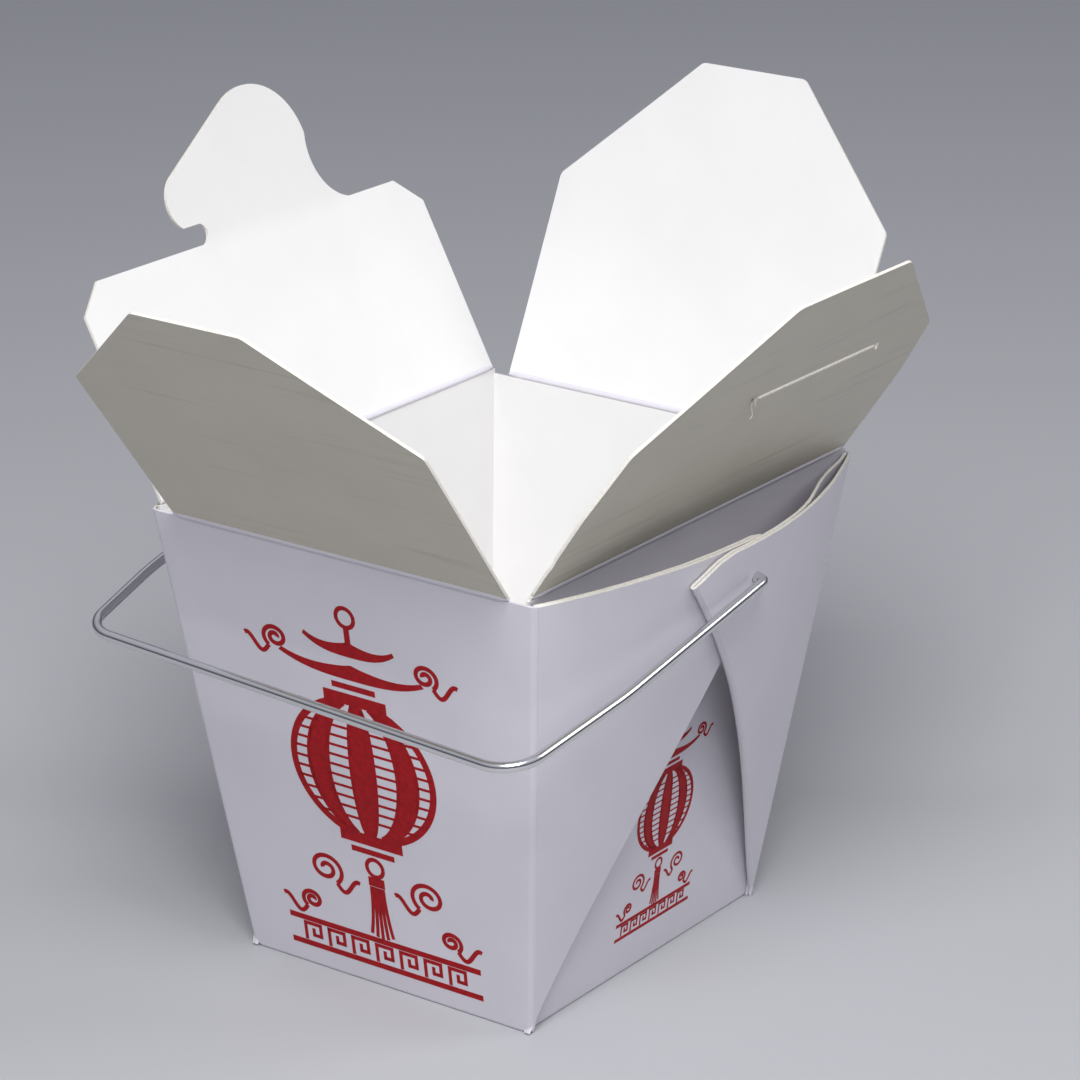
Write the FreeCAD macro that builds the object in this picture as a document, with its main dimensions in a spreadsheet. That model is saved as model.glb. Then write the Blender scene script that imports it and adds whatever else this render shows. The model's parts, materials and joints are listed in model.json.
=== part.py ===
import FreeCAD, Part
import math
import os

import Sketcher
from FreeCAD import Placement, Rotation, Vector

# A folded paperboard takeout carton with a wire bail, in millimetres.
# X runs across the narrow walls, Y across the wide end panels, Z is up.
# The origin is the middle of the underside.

SIZES = {
    "board": (0.5, "thickness of the paperboard"),
    "base_width": (56.6, "base, along X"),
    "base_depth": (68.0, "base, along Y"),
    "rim_width": (75.6, "rim, along X, at the end panels' creases"),
    "rim_depth": (95.0, "rim, along Y, at the plain flaps' creases"),
    "height": (83.0, "underside to the creases of the slot and tab flaps"),
    "crease_drop": (0.8, "how much lower the plain flaps' creases lie"),
    "crease_gap": (0.05, "clearance between a wall's top and its flap's bead"),
    "corner_round": (0.9, "outside radius where a wall turns into its web"),
    "ply_gap": (0.2, "air between the two plies of a folded web"),
    "web_gap": (0.4, "air between the lower web and the web laid over it"),
    "web_start": (0.3, "bulge of the lower web at the base"),
    "web_bulge": (9.2, "bulge of the lower web at the rim"),
    "web_rim_drop": (1.2, "rim of the webs below the crease, at the corners"),
    "web_rim_dip": (2.1, "rim of the webs below the crease, where they cross"),
    "fold_top": (77.0, "height where the folded edges end and the clips start"),
    "clip_run": (7.0, "length of the clipped corner along Y"),
    "lower_fold_reach": (46.5, "lower fold's top, from its own base corner, along Y"),
    "upper_fold_reach": (48.8, "upper fold's top, from its own base corner, along Y"),
    "upper_fold_bow": (3.6, "how far the upper fold bows away from the straight"),
    "slit_inset": (1.3, "board left joined beyond the gap between two plies"),
    "plain_hinge": (68.0, "crease length of the plain flaps"),
    "plain_shoulder_width": (69.0, "plain flaps' widest place"),
    "plain_shoulder": (36.8, "plain flaps' widest place, from the crease"),
    "plain_tip_width": (21.5, "plain flaps' tip edge"),
    "plain_reach": (59.6, "plain flaps, crease to tip"),
    "front_lean": (37.5, "front flap at rest, from upright, in degrees"),
    "back_lean": (27.0, "back flap at rest, from upright, in degrees"),
    "end_hinge": (93.0, "crease length of the slot and tab flaps"),
    "slot_waist_width": (93.8, "slot flap's widest place"),
    "slot_waist": (18.0, "slot flap's widest place, from the crease"),
    "slot_shoulder_width": (89.0, "slot flap where its slanted sides start"),
    "slot_shoulder": (31.2, "the same place, from the crease"),
    "slot_tip_width": (33.4, "slot flap's tip edge"),
    "slot_reach": (53.7, "slot flap, crease to tip"),
    "slot_lean": (33.0, "slot flap at rest, from upright, in degrees"),
    "slot_width": (0.9, "the slit that takes the tab"),
    "slot_from": (-10.4, "slit's one end, along Y"),
    "slot_to": (27.0, "slit's other end, along Y"),
    "slot_line": (31.5, "slit, from the crease"),
    "tab_shoulder_width": (92.6, "tab flap where its corners start"),
    "tab_shoulder": (32.9, "the same place, from the crease"),
    "tab_tip_width": (81.0, "tab flap's tip edge"),
    "tab_reach": (38.0, "tab flap, crease to tip edge"),
    "tab_lean": (28.5, "tab flap at rest, from upright, in degrees"),
    "tab_bend": (10.0, "tab against its flap, in degrees"),
    "tab_root": (0.4, "overlap of the tab and its flap at the tab's crease"),
    "tab_notch_at": (-12.4, "notch behind the tab's hook, along Y"),
    "tab_notch": (3.7, "height of the notch"),
    "tab_notch_round": (1.95, "radius of the notch"),
    "tab_hook_at": (-16.7, "hook's rounded side starts, along Y"),
    "tab_hook": (8.9, "height of the hook's rounded side"),
    "tab_hook_round": (5.4, "radius of the hook"),
    "tab_head_from": (0.7, "rounded head starts, along Y"),
    "tab_head_start": (22.5, "the same place, from the tab's crease"),
    "tab_head_to": (20.1, "rounded head ends, along Y"),
    "tab_head_end": (13.1, "the same place, from the tab's crease"),
    "tab_head_round": (13.0, "radius of the head"),
    "tab_flare_to": (27.5, "tab's flared side meets its flap, along Y"),
    "tab_flare_round": (10.8, "radius of the flare"),
    "wire": (1.8, "diameter of the wire"),
    "wire_clearance": (0.06, "play round the wire in its holes"),
    "pivot_y": (3.0, "pivot of the bail, along Y"),
    "pivot_height": (74.0, "pivot of the bail above the underside"),
    "arm_out": (49.9, "arms beside the pivot, from the middle plane"),
    "arm_mid": (49.0, "arms at their bow, from the middle plane"),
    "arm_mid_reach": (40.0, "the bow, from the pivot"),
    "bar_half": (46.0, "half the length of the crossbar"),
    "right_reach": (66.6, "crossbar's right end, from the pivot"),
    "left_reach": (60.6, "crossbar's left end, from the pivot"),
    "bar_bend": (6.5, "bend radius where an arm meets the crossbar"),
    "arm_bend": (60.0, "bend radius of the arms' gentle bow"),
    "hook_inset": (41.0, "hooked ends in the pocket, from the middle plane"),
    "hook_length": (5.5, "length of the hooked ends"),
    "hook_bend": (1.6, "bend radius at the pivots"),
    "bail_drop": (11.6, "bail at rest, below level, in degrees"),
}

doc = FreeCAD.newDocument("takeout_carton")
sizes = doc.addObject("Spreadsheet::Sheet", "sizes")
for row, (alias, (number, note)) in enumerate(SIZES.items(), 1):
    sizes.set(f"A{row}", alias)
    sizes.set(f"B{row}", str(number))
    sizes.set(f"C{row}", note)
    sizes.setAlias(f"B{row}", alias)
doc.recompute()


def cells(formula):
    """A formula in the sheet's words, as an expression that names the sheet."""
    words = []
    word = ""
    for letter in formula + " ":
        if letter.isalnum() or letter == "_":
            word += letter
            continue
        words.append("sizes." + word if word in SIZES else word)
        words.append(letter)
        word = ""
    return "".join(words).strip()


def worth(formula):
    """The number that a formula gives now."""
    return float(sizes.evalExpression(cells(formula)))


def bind(thing, **formulas):
    """Tie properties of an object to formulas; a double underscore stands for a dot."""
    for name, formula in formulas.items():
        thing.setExpression(name.replace("__", "."), cells(formula))


def lock(sketch, geometry, end, x, y):
    """Hold a point of the sketch at two formulas, measured from its origin."""
    for kind, formula in (("DistanceX", x), ("DistanceY", y)):
        number = sketch.addConstraint(
            Sketcher.Constraint(kind, -1, 1, geometry, end, worth(formula))
        )
        sketch.setExpression(f"Constraints[{number}]", cells(formula))


def arc_middle(start, end, radius, side):
    """The middle of the short arc from start to end; side 1 lies left of the chord."""
    chord = end - start
    half = chord.Length / 2
    rise = radius - math.sqrt(radius * radius - half * half)
    across = Vector(-chord.y, chord.x, 0)
    across.normalize()
    return (start + end) / 2 + across * rise * side


def outline(sketch, corners, arcs=None):
    """Draw a closed outline. corners are pairs of formulas. arcs gives, for the edge
    that leaves a corner, its radius as a formula and the side that it swells to."""
    arcs = arcs or {}
    points = [Vector(worth(x), worth(y), 0) for x, y in corners]
    count = len(points)
    for edge, start in enumerate(points):
        end = points[(edge + 1) % count]
        if edge in arcs:
            formula, side = arcs[edge]
            middle = arc_middle(start, end, worth(formula), side)
            sketch.addGeometry(Part.Arc(start, middle, end), False)
        else:
            sketch.addGeometry(Part.LineSegment(start, end), False)
    # an arc that runs clockwise is stored the other way round, so its ends swap
    ends = []
    for edge in range(count):
        near = sketch.getPoint(edge, 1).distanceToPoint(points[edge]) < 1e-6
        ends.append((1, 2) if near else (2, 1))
    for edge in range(count):
        after = (edge + 1) % count
        sketch.addConstraint(
            Sketcher.Constraint("Coincident", edge, ends[edge][1], after, ends[after][0])
        )
    for edge, (x, y) in enumerate(corners):
        lock(sketch, edge, ends[edge][0], x, y)
    for edge, (formula, side) in arcs.items():
        number = sketch.addConstraint(
            Sketcher.Constraint("Radius", edge, worth(formula))
        )
        sketch.setExpression(f"Constraints[{number}]", cells(formula))
    return sketch


def level_outline(name, height, corners, arcs=None, turned=False):
    """An outline in plan at a height; turned gives it half a turn about Z."""
    sketch = doc.addObject("Sketcher::SketchObject", name)
    sketch.Placement = Placement(Vector(), Rotation(Vector(0, 0, 1), 180 if turned else 0))
    bind(sketch, Placement__Base__z=height)
    return outline(sketch, corners, arcs)


def skin_between(name, lower, upper):
    """The solid between two level outlines, with straight rulings."""
    loft = doc.addObject("Part::Loft", name)
    loft.Sections = [lower, upper]
    loft.Solid = True
    loft.Ruled = True
    return loft


def boolean(kind, name, first, second):
    """A Part cut or common of two objects."""
    made = doc.addObject(kind, name)
    made.Base = first
    made.Tool = second
    return made


def joined(name, shapes):
    """Several shapes fused into one."""
    made = doc.addObject("Part::MultiFuse", name)
    made.Shapes = shapes
    made.Refine = True
    return made


# Walls and base


def frustum(name, trim_x, trim_y, lift):
    """The carton's tapered block, made smaller by a trim on each side."""
    lower = level_outline(
        name + "_foot",
        lift,
        rectangle(
            f"(base_width + (rim_width - base_width) * ({lift}) / height) / 2 - ({trim_x})",
            f"(base_depth + (rim_depth - base_depth) * ({lift}) / height) / 2 - ({trim_y})",
        ),
    )
    upper = level_outline(
        name + "_top",
        "height",
        rectangle(f"rim_width / 2 - ({trim_x})", f"rim_depth / 2 - ({trim_y})"),
    )
    return skin_between(name, lower, upper)


def rectangle(half_x, half_y):
    """The corners of a rectangle about the middle, from two half sizes."""
    return [
        (f"-({half_x})", f"-({half_y})"),
        (half_x, f"-({half_y})"),
        (half_x, half_y),
        (f"-({half_x})", half_y),
    ]


STACK = "(2 * board + ply_gap)"

tray = boolean(
    "Part::Cut",
    "tray",
    frustum("tray_outside", "0", "0", "0"),
    frustum("tray_inside", "board", "board", "board"),
)
# the narrow walls run on past the end panels to meet the webs' outer plies
wings = boolean(
    "Part::Cut",
    "wings",
    frustum("wings_outside", f"corner_round - {STACK}", "0", "0"),
    frustum("wings_inside", "-10", "board", "0"),
)


def trim_box(name, x, y, z, length, width, tall):
    """A box for trimming, centred on x and y, with its foot at z."""
    box = doc.addObject("Part::Box", name)
    bind(
        box,
        Length=length,
        Width=width,
        Height=tall,
        Placement__Base__x=f"({x}) - ({length}) / 2",
        Placement__Base__y=f"({y}) - ({width}) / 2",
        Placement__Base__z=z,
    )
    return box


# every wall stops one bead's radius and the crease gap under its flap's axis
walls = joined("walls", [tray, wings])
walls = boolean(
    "Part::Cut",
    "walls_under_end_flaps",
    walls,
    trim_box(
        "end_trim",
        "0",
        "0",
        "height - board / 2 - crease_gap",
        "2 * rim_width",
        "2 * rim_depth",
        "height",
    ),
)
for side, sign in (("front", "-"), ("back", "")):
    walls = boolean(
        "Part::Cut",
        f"walls_under_{side}_flap",
        walls,
        trim_box(
            f"{side}_trim",
            "0",
            f"{sign}(rim_depth / 2)",
            "height - crease_drop - board / 2 - crease_gap",
            "2 * rim_width",
            "4 * board",
            "height",
        ),
    )

# Webs: each corner's web is folded double and laid over the end panel


def band(name, level, half, swell, out_to, thick, rounded, turned):
    """A bowed strip in plan, from corner to corner of the end panel. A rounded one
    starts with the turn that carries it on from the narrow wall."""
    start = "corner_round" if rounded else "0"
    outer = f"((({half}) - {start} / 2)^2 + ({swell})^2) / (2 * ({swell}))"
    inner = f"(({half})^2 + ({swell})^2) / (2 * ({swell}))"
    corners = [
        (out_to, f"-({half}) + {start}"),
        (out_to, half),
        (f"({out_to}) - ({thick})", half),
        (f"({out_to}) - ({thick})", f"-({half})"),
    ]
    arcs = {0: (outer, -1), 2: (inner, 1)}
    if rounded:
        corners.append((f"({out_to}) - corner_round", f"-({half})"))
        arcs[4] = ("corner_round", -1)
    return level_outline(name, level, corners, arcs, turned)


def bowed_strip(name, extra, shift, thick, rounded, mirrored, turned):
    """The strip from base to rim. extra is the bulge added at every level, and shift
    moves the strip inwards by part of the stack of plies."""
    levels = {
        "foot": ("0", "base_depth / 2", "base_width / 2", f"web_start + {extra}"),
        "top": ("height", "rim_depth / 2", "rim_width / 2", f"web_bulge + {extra}"),
    }
    plans = [
        band(
            f"{name}_{end}",
            level,
            half,
            swell,
            f"{out} + {STACK} - {shift}",
            thick,
            rounded,
            turned != mirrored,
        )
        for end, (level, half, out, swell) in levels.items()
    ]
    strip = skin_between(name, *plans)
    if not mirrored:
        return strip
    # the web of the other corner is the mirror image across the XZ plane
    twin = doc.addObject("Part::Mirroring", name + "_mirrored")
    twin.Source = strip
    twin.Normal = Vector(1, 0, 0)
    return twin


def face_block(name, corners, bow, mirrored, turned):
    """A thick block whose outline is seen from the end. corners are given for a web
    that starts at the front corner, and the first edge follows the fold."""
    flip = "-1" if mirrored else "1"
    seen = [(f"{flip} * ({y})", z) for y, z in corners]
    (y0, z0), (y1, z1) = corners[:2]
    run = f"((({y1}) - ({y0}))^2 + (({z1}) - ({z0}))^2)"
    radius = f"({run} / 4 + ({bow})^2) / (2 * ({bow}))"
    arcs = {0: (radius, -1 if mirrored else 1)} if bow else {}
    sketch = doc.addObject("Sketcher::SketchObject", name + "_outline")
    about = Rotation(Vector(0, 0, 1), 180 if turned else 0)
    sketch.Placement = Placement(Vector(), about * Rotation(Vector(1, 1, 1), 120))
    outline(sketch, seen, arcs)
    block = doc.addObject("Part::Extrusion", name)
    block.Base = sketch
    block.DirMode = "Normal"
    block.Solid = True
    bind(block, LengthFwd="rim_width")
    return block


def folded_web(name, reach, bow, extra, mirrored, turned):
    """One web: two plies joined along the folded edge and at the wall's corner."""
    fold = f"({reach}) - base_depth / 2"
    whole = boolean(
        "Part::Common",
        name + "_whole",
        bowed_strip(name + "_strip", extra, "0", STACK, True, mirrored, turned),
        face_block(
            name + "_face",
            [
                ("-base_depth / 2", "0"),
                (fold, "fold_top"),
                (f"{fold} - clip_run", "height - web_rim_dip"),
                ("-rim_depth / 2", "height - web_rim_drop"),
                ("-rim_depth", "height - web_rim_drop"),
                ("-rim_depth", "0"),
            ],
            bow,
            mirrored,
            turned,
        ),
    )
    gap = boolean(
        "Part::Common",
        name + "_gap",
        bowed_strip(name + "_slit", extra, "board", "ply_gap", False, mirrored, turned),
        face_block(
            name + "_slit_face",
            [
                ("slit_inset / 2 - base_depth / 2", "5 * slit_inset"),
                (f"{fold} - slit_inset", "fold_top"),
                (f"{fold} - clip_run - slit_inset", "height"),
                ("slit_inset - rim_depth / 2", "height"),
            ],
            bow,
            mirrored,
            turned,
        ),
    )
    return boolean("Part::Cut", name, whole, gap)


webs = []
for end, turned in (("right", False), ("left", True)):
    webs.append(
        folded_web(f"{end}_lower_web", "lower_fold_reach", "", "0", False, turned)
    )
    webs.append(
        folded_web(
            f"{end}_upper_web",
            "upper_fold_reach",
            "upper_fold_bow",
            f"({STACK} + web_gap)",
            True,
            turned,
        )
    )

# the wire passes through the webs only, so the food side of each end stays whole
bore = doc.addObject("Part::Cylinder", "wire_holes")
bore.Placement = Placement(Vector(), Rotation(Vector(0, 1, 0), 90))
bind(
    bore,
    Radius="wire / 2 + wire_clearance",
    Height="2 * rim_width",
    Placement__Base__x="-rim_width",
    Placement__Base__y="pivot_y",
    Placement__Base__z="pivot_height",
)
webs = boolean("Part::Cut", "pierced_webs", joined("webs", webs), bore)
carton_body = joined("carton_body", [walls, webs])

# Flaps: each one is its own sheet with a rounded bead along the crease


def plane_of(body, role):
    """One of a body's own origin planes."""
    return next(f for f in body.Origin.OriginFeatures if f.Role == role)


def body_sketch(body, name, role, offset=None):
    """An empty sketch on one of the body's origin planes."""
    sketch = body.newObject("Sketcher::SketchObject", name)
    sketch.AttachmentSupport = [(plane_of(body, role), "")]
    sketch.MapMode = "FlatFace"
    if offset:
        sketch.AttachmentOffset = offset
    return sketch


def pad(body, name, sketch, length):
    """A pad that spreads evenly to both sides of its sketch."""
    made = body.newObject("PartDesign::Pad", name)
    made.Profile = sketch
    made.Midplane = True
    bind(made, Length=length)
    return made


def circle(sketch, radius, x="0", y="0"):
    """A circle held at two formulas."""
    sketch.addGeometry(
        Part.Circle(Vector(worth(x), worth(y), 0), Vector(0, 0, 1), worth(radius)), False
    )
    number = sketch.addConstraint(Sketcher.Constraint("Radius", 0, worth(radius)))
    sketch.setExpression(f"Constraints[{number}]", cells(radius))
    lock(sketch, 0, 3, x, y)


def mirrored_sides(half_outline):
    """The whole outline from its right half, given from the crease to the tip."""
    left = [(f"-({x})", y) for x, y in half_outline]
    return half_outline + left[::-1]


def flap(name, across, corners, arcs, hinge, axis, lean, base):
    """A flap standing on its crease, then leant outwards about it."""
    body = doc.addObject("PartDesign::Body", name)
    seen, ends = ("XZ_Plane", "YZ_Plane") if across == "x" else ("YZ_Plane", "XZ_Plane")
    leaf = body_sketch(body, name + "_leaf", seen)
    outline(leaf, corners, arcs)
    pad(body, name + "_sheet", leaf, "board")
    round_edge = body_sketch(body, name + "_crease", ends)
    circle(round_edge, "board / 2")
    pad(body, name + "_bead", round_edge, hinge)
    body.Placement = Placement(Vector(), Rotation(axis, worth(lean)))
    bind(body, Placement__Rotation__Angle=lean, **base)
    return body


PLAIN = mirrored_sides(
    [
        ("plain_hinge / 2", "0"),
        ("plain_shoulder_width / 2", "plain_shoulder"),
        ("plain_tip_width / 2", "plain_reach"),
    ]
)


def plain_flap(name, sign, axis, lean):
    """A flap of a narrow wall."""
    return flap(
        name,
        "x",
        PLAIN,
        {},
        "plain_hinge",
        axis,
        lean,
        {
            "Placement__Base__y": f"{sign} * (rim_depth - board) / 2",
            "Placement__Base__z": "height - crease_drop",
        },
    )


front_flap = plain_flap("front_flap", "-1", Vector(1, 0, 0), "front_lean")
back_flap = plain_flap("back_flap", "1", Vector(-1, 0, 0), "back_lean")

slot_flap = flap(
    "slot_flap",
    "y",
    mirrored_sides(
        [
            ("end_hinge / 2", "0"),
            ("slot_waist_width / 2", "slot_waist"),
            ("slot_shoulder_width / 2", "slot_shoulder"),
            ("slot_tip_width / 2", "slot_reach"),
        ]
    ),
    {},
    "end_hinge",
    Vector(0, 1, 0),
    "slot_lean",
    {"Placement__Base__x": "(rim_width - board) / 2", "Placement__Base__z": "height"},
)
slit = body_sketch(slot_flap, "slot_outline", "YZ_Plane")
outline(
    slit,
    [
        ("slot_from", "slot_line - slot_width / 2"),
        ("slot_to", "slot_line - slot_width / 2"),
        ("slot_to", "slot_line + slot_width / 2"),
        ("slot_from", "slot_line + slot_width / 2"),
    ],
    {1: ("slot_width / 1.99", -1), 3: ("slot_width / 1.99", -1)},
)
slot = slot_flap.newObject("PartDesign::Pocket", "slot")
slot.Profile = slit
slot.Type = 1
slot.Midplane = True

tab_flap = flap(
    "tab_flap",
    "y",
    mirrored_sides(
        [
            ("end_hinge / 2", "0"),
            ("tab_shoulder_width / 2", "tab_shoulder"),
            ("tab_tip_width / 2", "tab_reach"),
        ]
    ),
    {},
    "end_hinge",
    Vector(0, -1, 0),
    "tab_lean",
    {"Placement__Base__x": "(board - rim_width) / 2", "Placement__Base__z": "height"},
)

# the tab is part of the same sheet, bent a little inwards along its root
tab_plan = body_sketch(tab_flap, "tab_outline", "YZ_Plane")
tab_plan.AttachmentOffset = Placement(Vector(), Rotation(Vector(1, 0, 0), worth("tab_bend")))
bind(
    tab_plan,
    AttachmentOffset__Base__y="tab_reach",
    AttachmentOffset__Rotation__Angle="tab_bend",
)
outline(
    tab_plan,
    [
        ("tab_notch_at", "-tab_root"),
        ("tab_flare_to", "-tab_root"),
        ("tab_flare_to", "0"),
        ("tab_head_to", "tab_head_end"),
        ("tab_head_from", "tab_head_start"),
        ("tab_hook_at", "tab_notch + tab_hook"),
        ("tab_hook_at", "tab_notch"),
        ("tab_notch_at", "tab_notch"),
        ("tab_notch_at", "0"),
    ],
    {
        2: ("tab_flare_round", 1),
        3: ("tab_head_round", -1),
        5: ("tab_hook_round", -1),
        7: ("tab_notch_round", 1),
    },
)
pad(tab_flap, "tab", tab_plan, "board")

# Wire bail: one bent wire, hooked through the webs at both ends


def bent_path(sketch, corners, radii):
    """An open path of straight runs joined by tangent arcs. corners are pairs of
    formulas for the sharp corners, radii one formula for each inner corner."""
    points = [Vector(worth(x), worth(y), 0) for x, y in corners]
    inner = range(1, len(points) - 1)
    starts = {0: points[0]}
    stops = {len(points) - 2: points[-1]}
    arcs = {}
    for at in inner:
        back = (points[at - 1] - points[at]).normalize()
        ahead = (points[at + 1] - points[at]).normalize()
        half = back.getAngle(ahead) / 2
        radius = worth(radii[at - 1])
        reach = radius / math.tan(half)
        middle = (back + ahead).normalize() * (radius / math.sin(half) - radius)
        stops[at - 1] = points[at] + back * reach
        starts[at] = points[at] + ahead * reach
        arcs[at] = Part.Arc(stops[at - 1], points[at] + middle, starts[at])
    runs = [
        sketch.addGeometry(Part.LineSegment(starts[run], stops[run]), False)
        for run in range(len(points) - 1)
    ]
    guides = [
        sketch.addGeometry(Part.LineSegment(points[run], points[run + 1]), True)
        for run in range(len(points) - 1)
    ]
    for run, guide in enumerate(guides):
        if run:
            sketch.addConstraint(
                Sketcher.Constraint("Coincident", guides[run - 1], 2, guide, 1)
            )
        lock(sketch, guide, 1, *corners[run])
    lock(sketch, guides[-1], 2, *corners[-1])
    for run, (line, guide) in enumerate(zip(runs, guides)):
        for end, last in ((1, 0), (2, len(runs) - 1)):
            kind = "Coincident" if run == last else "PointOnObject"
            held = (guide, end) if run == last else (guide,)
            sketch.addConstraint(Sketcher.Constraint(kind, line, end, *held))
    for at in inner:
        bend = sketch.addGeometry(arcs[at], False)
        near = sketch.getPoint(bend, 1).distanceToPoint(stops[at - 1]) < 1e-6
        first, second = (1, 2) if near else (2, 1)
        for line, end, side in ((runs[at - 1], 2, first), (runs[at], 1, second)):
            sketch.addConstraint(Sketcher.Constraint("Tangent", line, end, bend, side))
        number = sketch.addConstraint(
            Sketcher.Constraint("Radius", bend, worth(radii[at - 1]))
        )
        sketch.setExpression(f"Constraints[{number}]", cells(radii[at - 1]))
    return sketch


wire_bail = doc.addObject("PartDesign::Body", "wire_bail")
route = bent_path(
    body_sketch(wire_bail, "bail_route", "XY_Plane"),
    [
        ("hook_inset", "hook_length"),
        ("hook_inset", "0"),
        ("arm_out", "0"),
        ("arm_mid", "-arm_mid_reach"),
        ("bar_half", "-right_reach"),
        ("-bar_half", "-left_reach"),
        ("-arm_mid", "-arm_mid_reach"),
        ("-arm_out", "0"),
        ("-hook_inset", "0"),
        ("-hook_inset", "hook_length"),
    ],
    [
        "hook_bend",
        "hook_bend",
        "arm_bend",
        "bar_bend",
        "bar_bend",
        "arm_bend",
        "hook_bend",
        "hook_bend",
    ],
)
section = body_sketch(wire_bail, "wire_section", "XZ_Plane")
bind(section, AttachmentOffset__Base__z="-hook_length")
circle(section, "wire / 2", "hook_inset")
doc.recompute()
bent_wire = wire_bail.newObject("PartDesign::AdditivePipe", "bent_wire")
bent_wire.Profile = section
bent_wire.Spine = (route, [])
wire_bail.Placement = Placement(Vector(), Rotation(Vector(1, 0, 0), worth("bail_drop")))
bind(
    wire_bail,
    Placement__Base__y="pivot_y",
    Placement__Base__z="pivot_height",
    Placement__Rotation__Angle="bail_drop",
)

# Saving: every object is sound, then one file for each piece


def save(pieces):
    """Check the whole document, then write each piece."""
    doc.recompute()
    for thing in doc.Objects:
        if "Invalid" in thing.State or "Error" in thing.State:
            raise RuntimeError(f"{thing.Name} did not build: {thing.State}")
    for piece in pieces:
        shape = piece.Shape
        if shape.isNull() or not shape.isValid():
            raise RuntimeError(f"{piece.Label} has no valid shape")
    os.makedirs("parts", exist_ok=True)
    for piece in pieces:
        piece.Shape.exportStep(f"parts/{piece.Label}.step")
        print(piece.Label, round(piece.Shape.Volume, 1), "mm3", len(piece.Shape.Solids))


save([carton_body, front_flap, back_flap, slot_flap, tab_flap, wire_bail])
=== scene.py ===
"""A folded paperboard takeout carton with a wire bail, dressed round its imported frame."""

import enum
import json
import logging
import math
from collections.abc import Callable, Sequence
from dataclasses import dataclass, field

import bpy
from mathutils import Matrix, Vector, noise
from mathutils.geometry import delaunay_2d_cdt


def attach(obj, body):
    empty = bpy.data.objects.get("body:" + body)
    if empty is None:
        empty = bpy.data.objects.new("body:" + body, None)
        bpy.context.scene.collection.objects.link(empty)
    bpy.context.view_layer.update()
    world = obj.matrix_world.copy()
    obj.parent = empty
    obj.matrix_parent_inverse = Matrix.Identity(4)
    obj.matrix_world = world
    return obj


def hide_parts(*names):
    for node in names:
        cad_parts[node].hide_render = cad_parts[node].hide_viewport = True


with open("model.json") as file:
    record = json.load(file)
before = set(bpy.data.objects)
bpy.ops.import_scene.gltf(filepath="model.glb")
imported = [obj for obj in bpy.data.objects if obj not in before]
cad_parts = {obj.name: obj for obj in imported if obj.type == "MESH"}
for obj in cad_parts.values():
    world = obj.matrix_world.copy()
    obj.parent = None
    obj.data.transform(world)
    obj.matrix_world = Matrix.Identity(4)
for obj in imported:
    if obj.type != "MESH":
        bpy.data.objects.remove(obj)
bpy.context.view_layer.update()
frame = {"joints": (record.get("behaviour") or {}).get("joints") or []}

MM = 0.001
LOG = logging.getLogger("carton")
Point = tuple[float, float]
Point3 = tuple[float, float, float]
Tree = bpy.types.NodeTree
Socket = bpy.types.NodeSocket
Surface = Callable[[float, float], Vector]
HALF_TURN = Matrix.Rotation(math.pi, 4, "Z")
# triangles of less than half this area, in square millimetres, are left out of a sheet
SLIVER = 0.002
# distance in millimetres over which a surface's slope is taken
PROBE = 0.05


def linear(hex_colour: str) -> tuple[float, float, float, float]:
    """Turn an sRGB hex colour into the linear values that shaders take.

    Args:
        hex_colour: A colour such as "#c8102e".

    Returns:
        Linear red, green and blue, and an alpha of 1.
    """
    channels = [int(hex_colour[i : i + 2], 16) / 255 for i in (1, 3, 5)]
    bright = [
        c / 12.92 if c <= 0.04045 else ((c + 0.055) / 1.055) ** 2.4 for c in channels
    ]
    return (*bright, 1.0)


def smooth(low: float, high: float, at: float) -> float:
    """Rise from 0 at low to 1 at high with level ends."""
    t = min(1.0, max(0.0, (at - low) / (high - low)))
    return t * t * (3 - 2 * t)


def add_node(
    tree: Tree, kind: str, links: dict | None = None, **settings
) -> bpy.types.Node:
    """Add one node with its settings and its incoming links.

    Args:
        tree: The tree that gets the node.
        kind: The node's type name.
        links: Input name or number, to a value or to the output that feeds it.
        **settings: Properties of the node.

    Returns:
        The new node.
    """
    node = tree.nodes.new(kind)
    for name, value in settings.items():
        setattr(node, name, value)
    for name, source in (links or {}).items():
        if isinstance(source, bpy.types.NodeSocket):
            tree.links.new(source, node.inputs[name])
        else:
            node.inputs[name].default_value = source
    return node


def ramp(tree: Tree, factor: Socket, stops: Sequence[tuple[float, str | tuple]]) -> Socket:
    """Add a colour ramp with the given stops and return its colour.

    Args:
        tree: The node tree that gets the nodes.
        factor: The value that picks the colour.
        stops: Places from 0 to 1 and their colours.

    Returns:
        The colour.
    """
    node = add_node(tree, "ShaderNodeValToRGB", {"Fac": factor})
    points = node.color_ramp.elements
    while len(points) < len(stops):
        points.new(0.5)
    for point, (place, colour) in zip(points, stops):
        point.position = place
        point.color = linear(colour) if isinstance(colour, str) else colour
    return node.outputs["Color"]


def cells(tree: Tree, size_mm: float, detail: float) -> Socket:
    """Add noise whose cells have a real size on the piece and return its value.

    Args:
        tree: The node tree that gets the nodes.
        size_mm: Size of the cells.
        detail: How many finer layers the noise has.

    Returns:
        The noise's value.
    """
    where = add_node(tree, "ShaderNodeTexCoord").outputs["Object"]
    links = {"Vector": where, "Scale": 1 / (size_mm * MM), "Detail": detail}
    return add_node(tree, "ShaderNodeTexNoise", links).outputs["Fac"]


def span(tree: Tree, factor: Socket, low: float, high: float) -> Socket:
    """Spread a factor from 0 to 1 over two values."""
    return add_node(tree, "ShaderNodeMapRange", {"Value": factor, 3: low, 4: high}).outputs[0]


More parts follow.
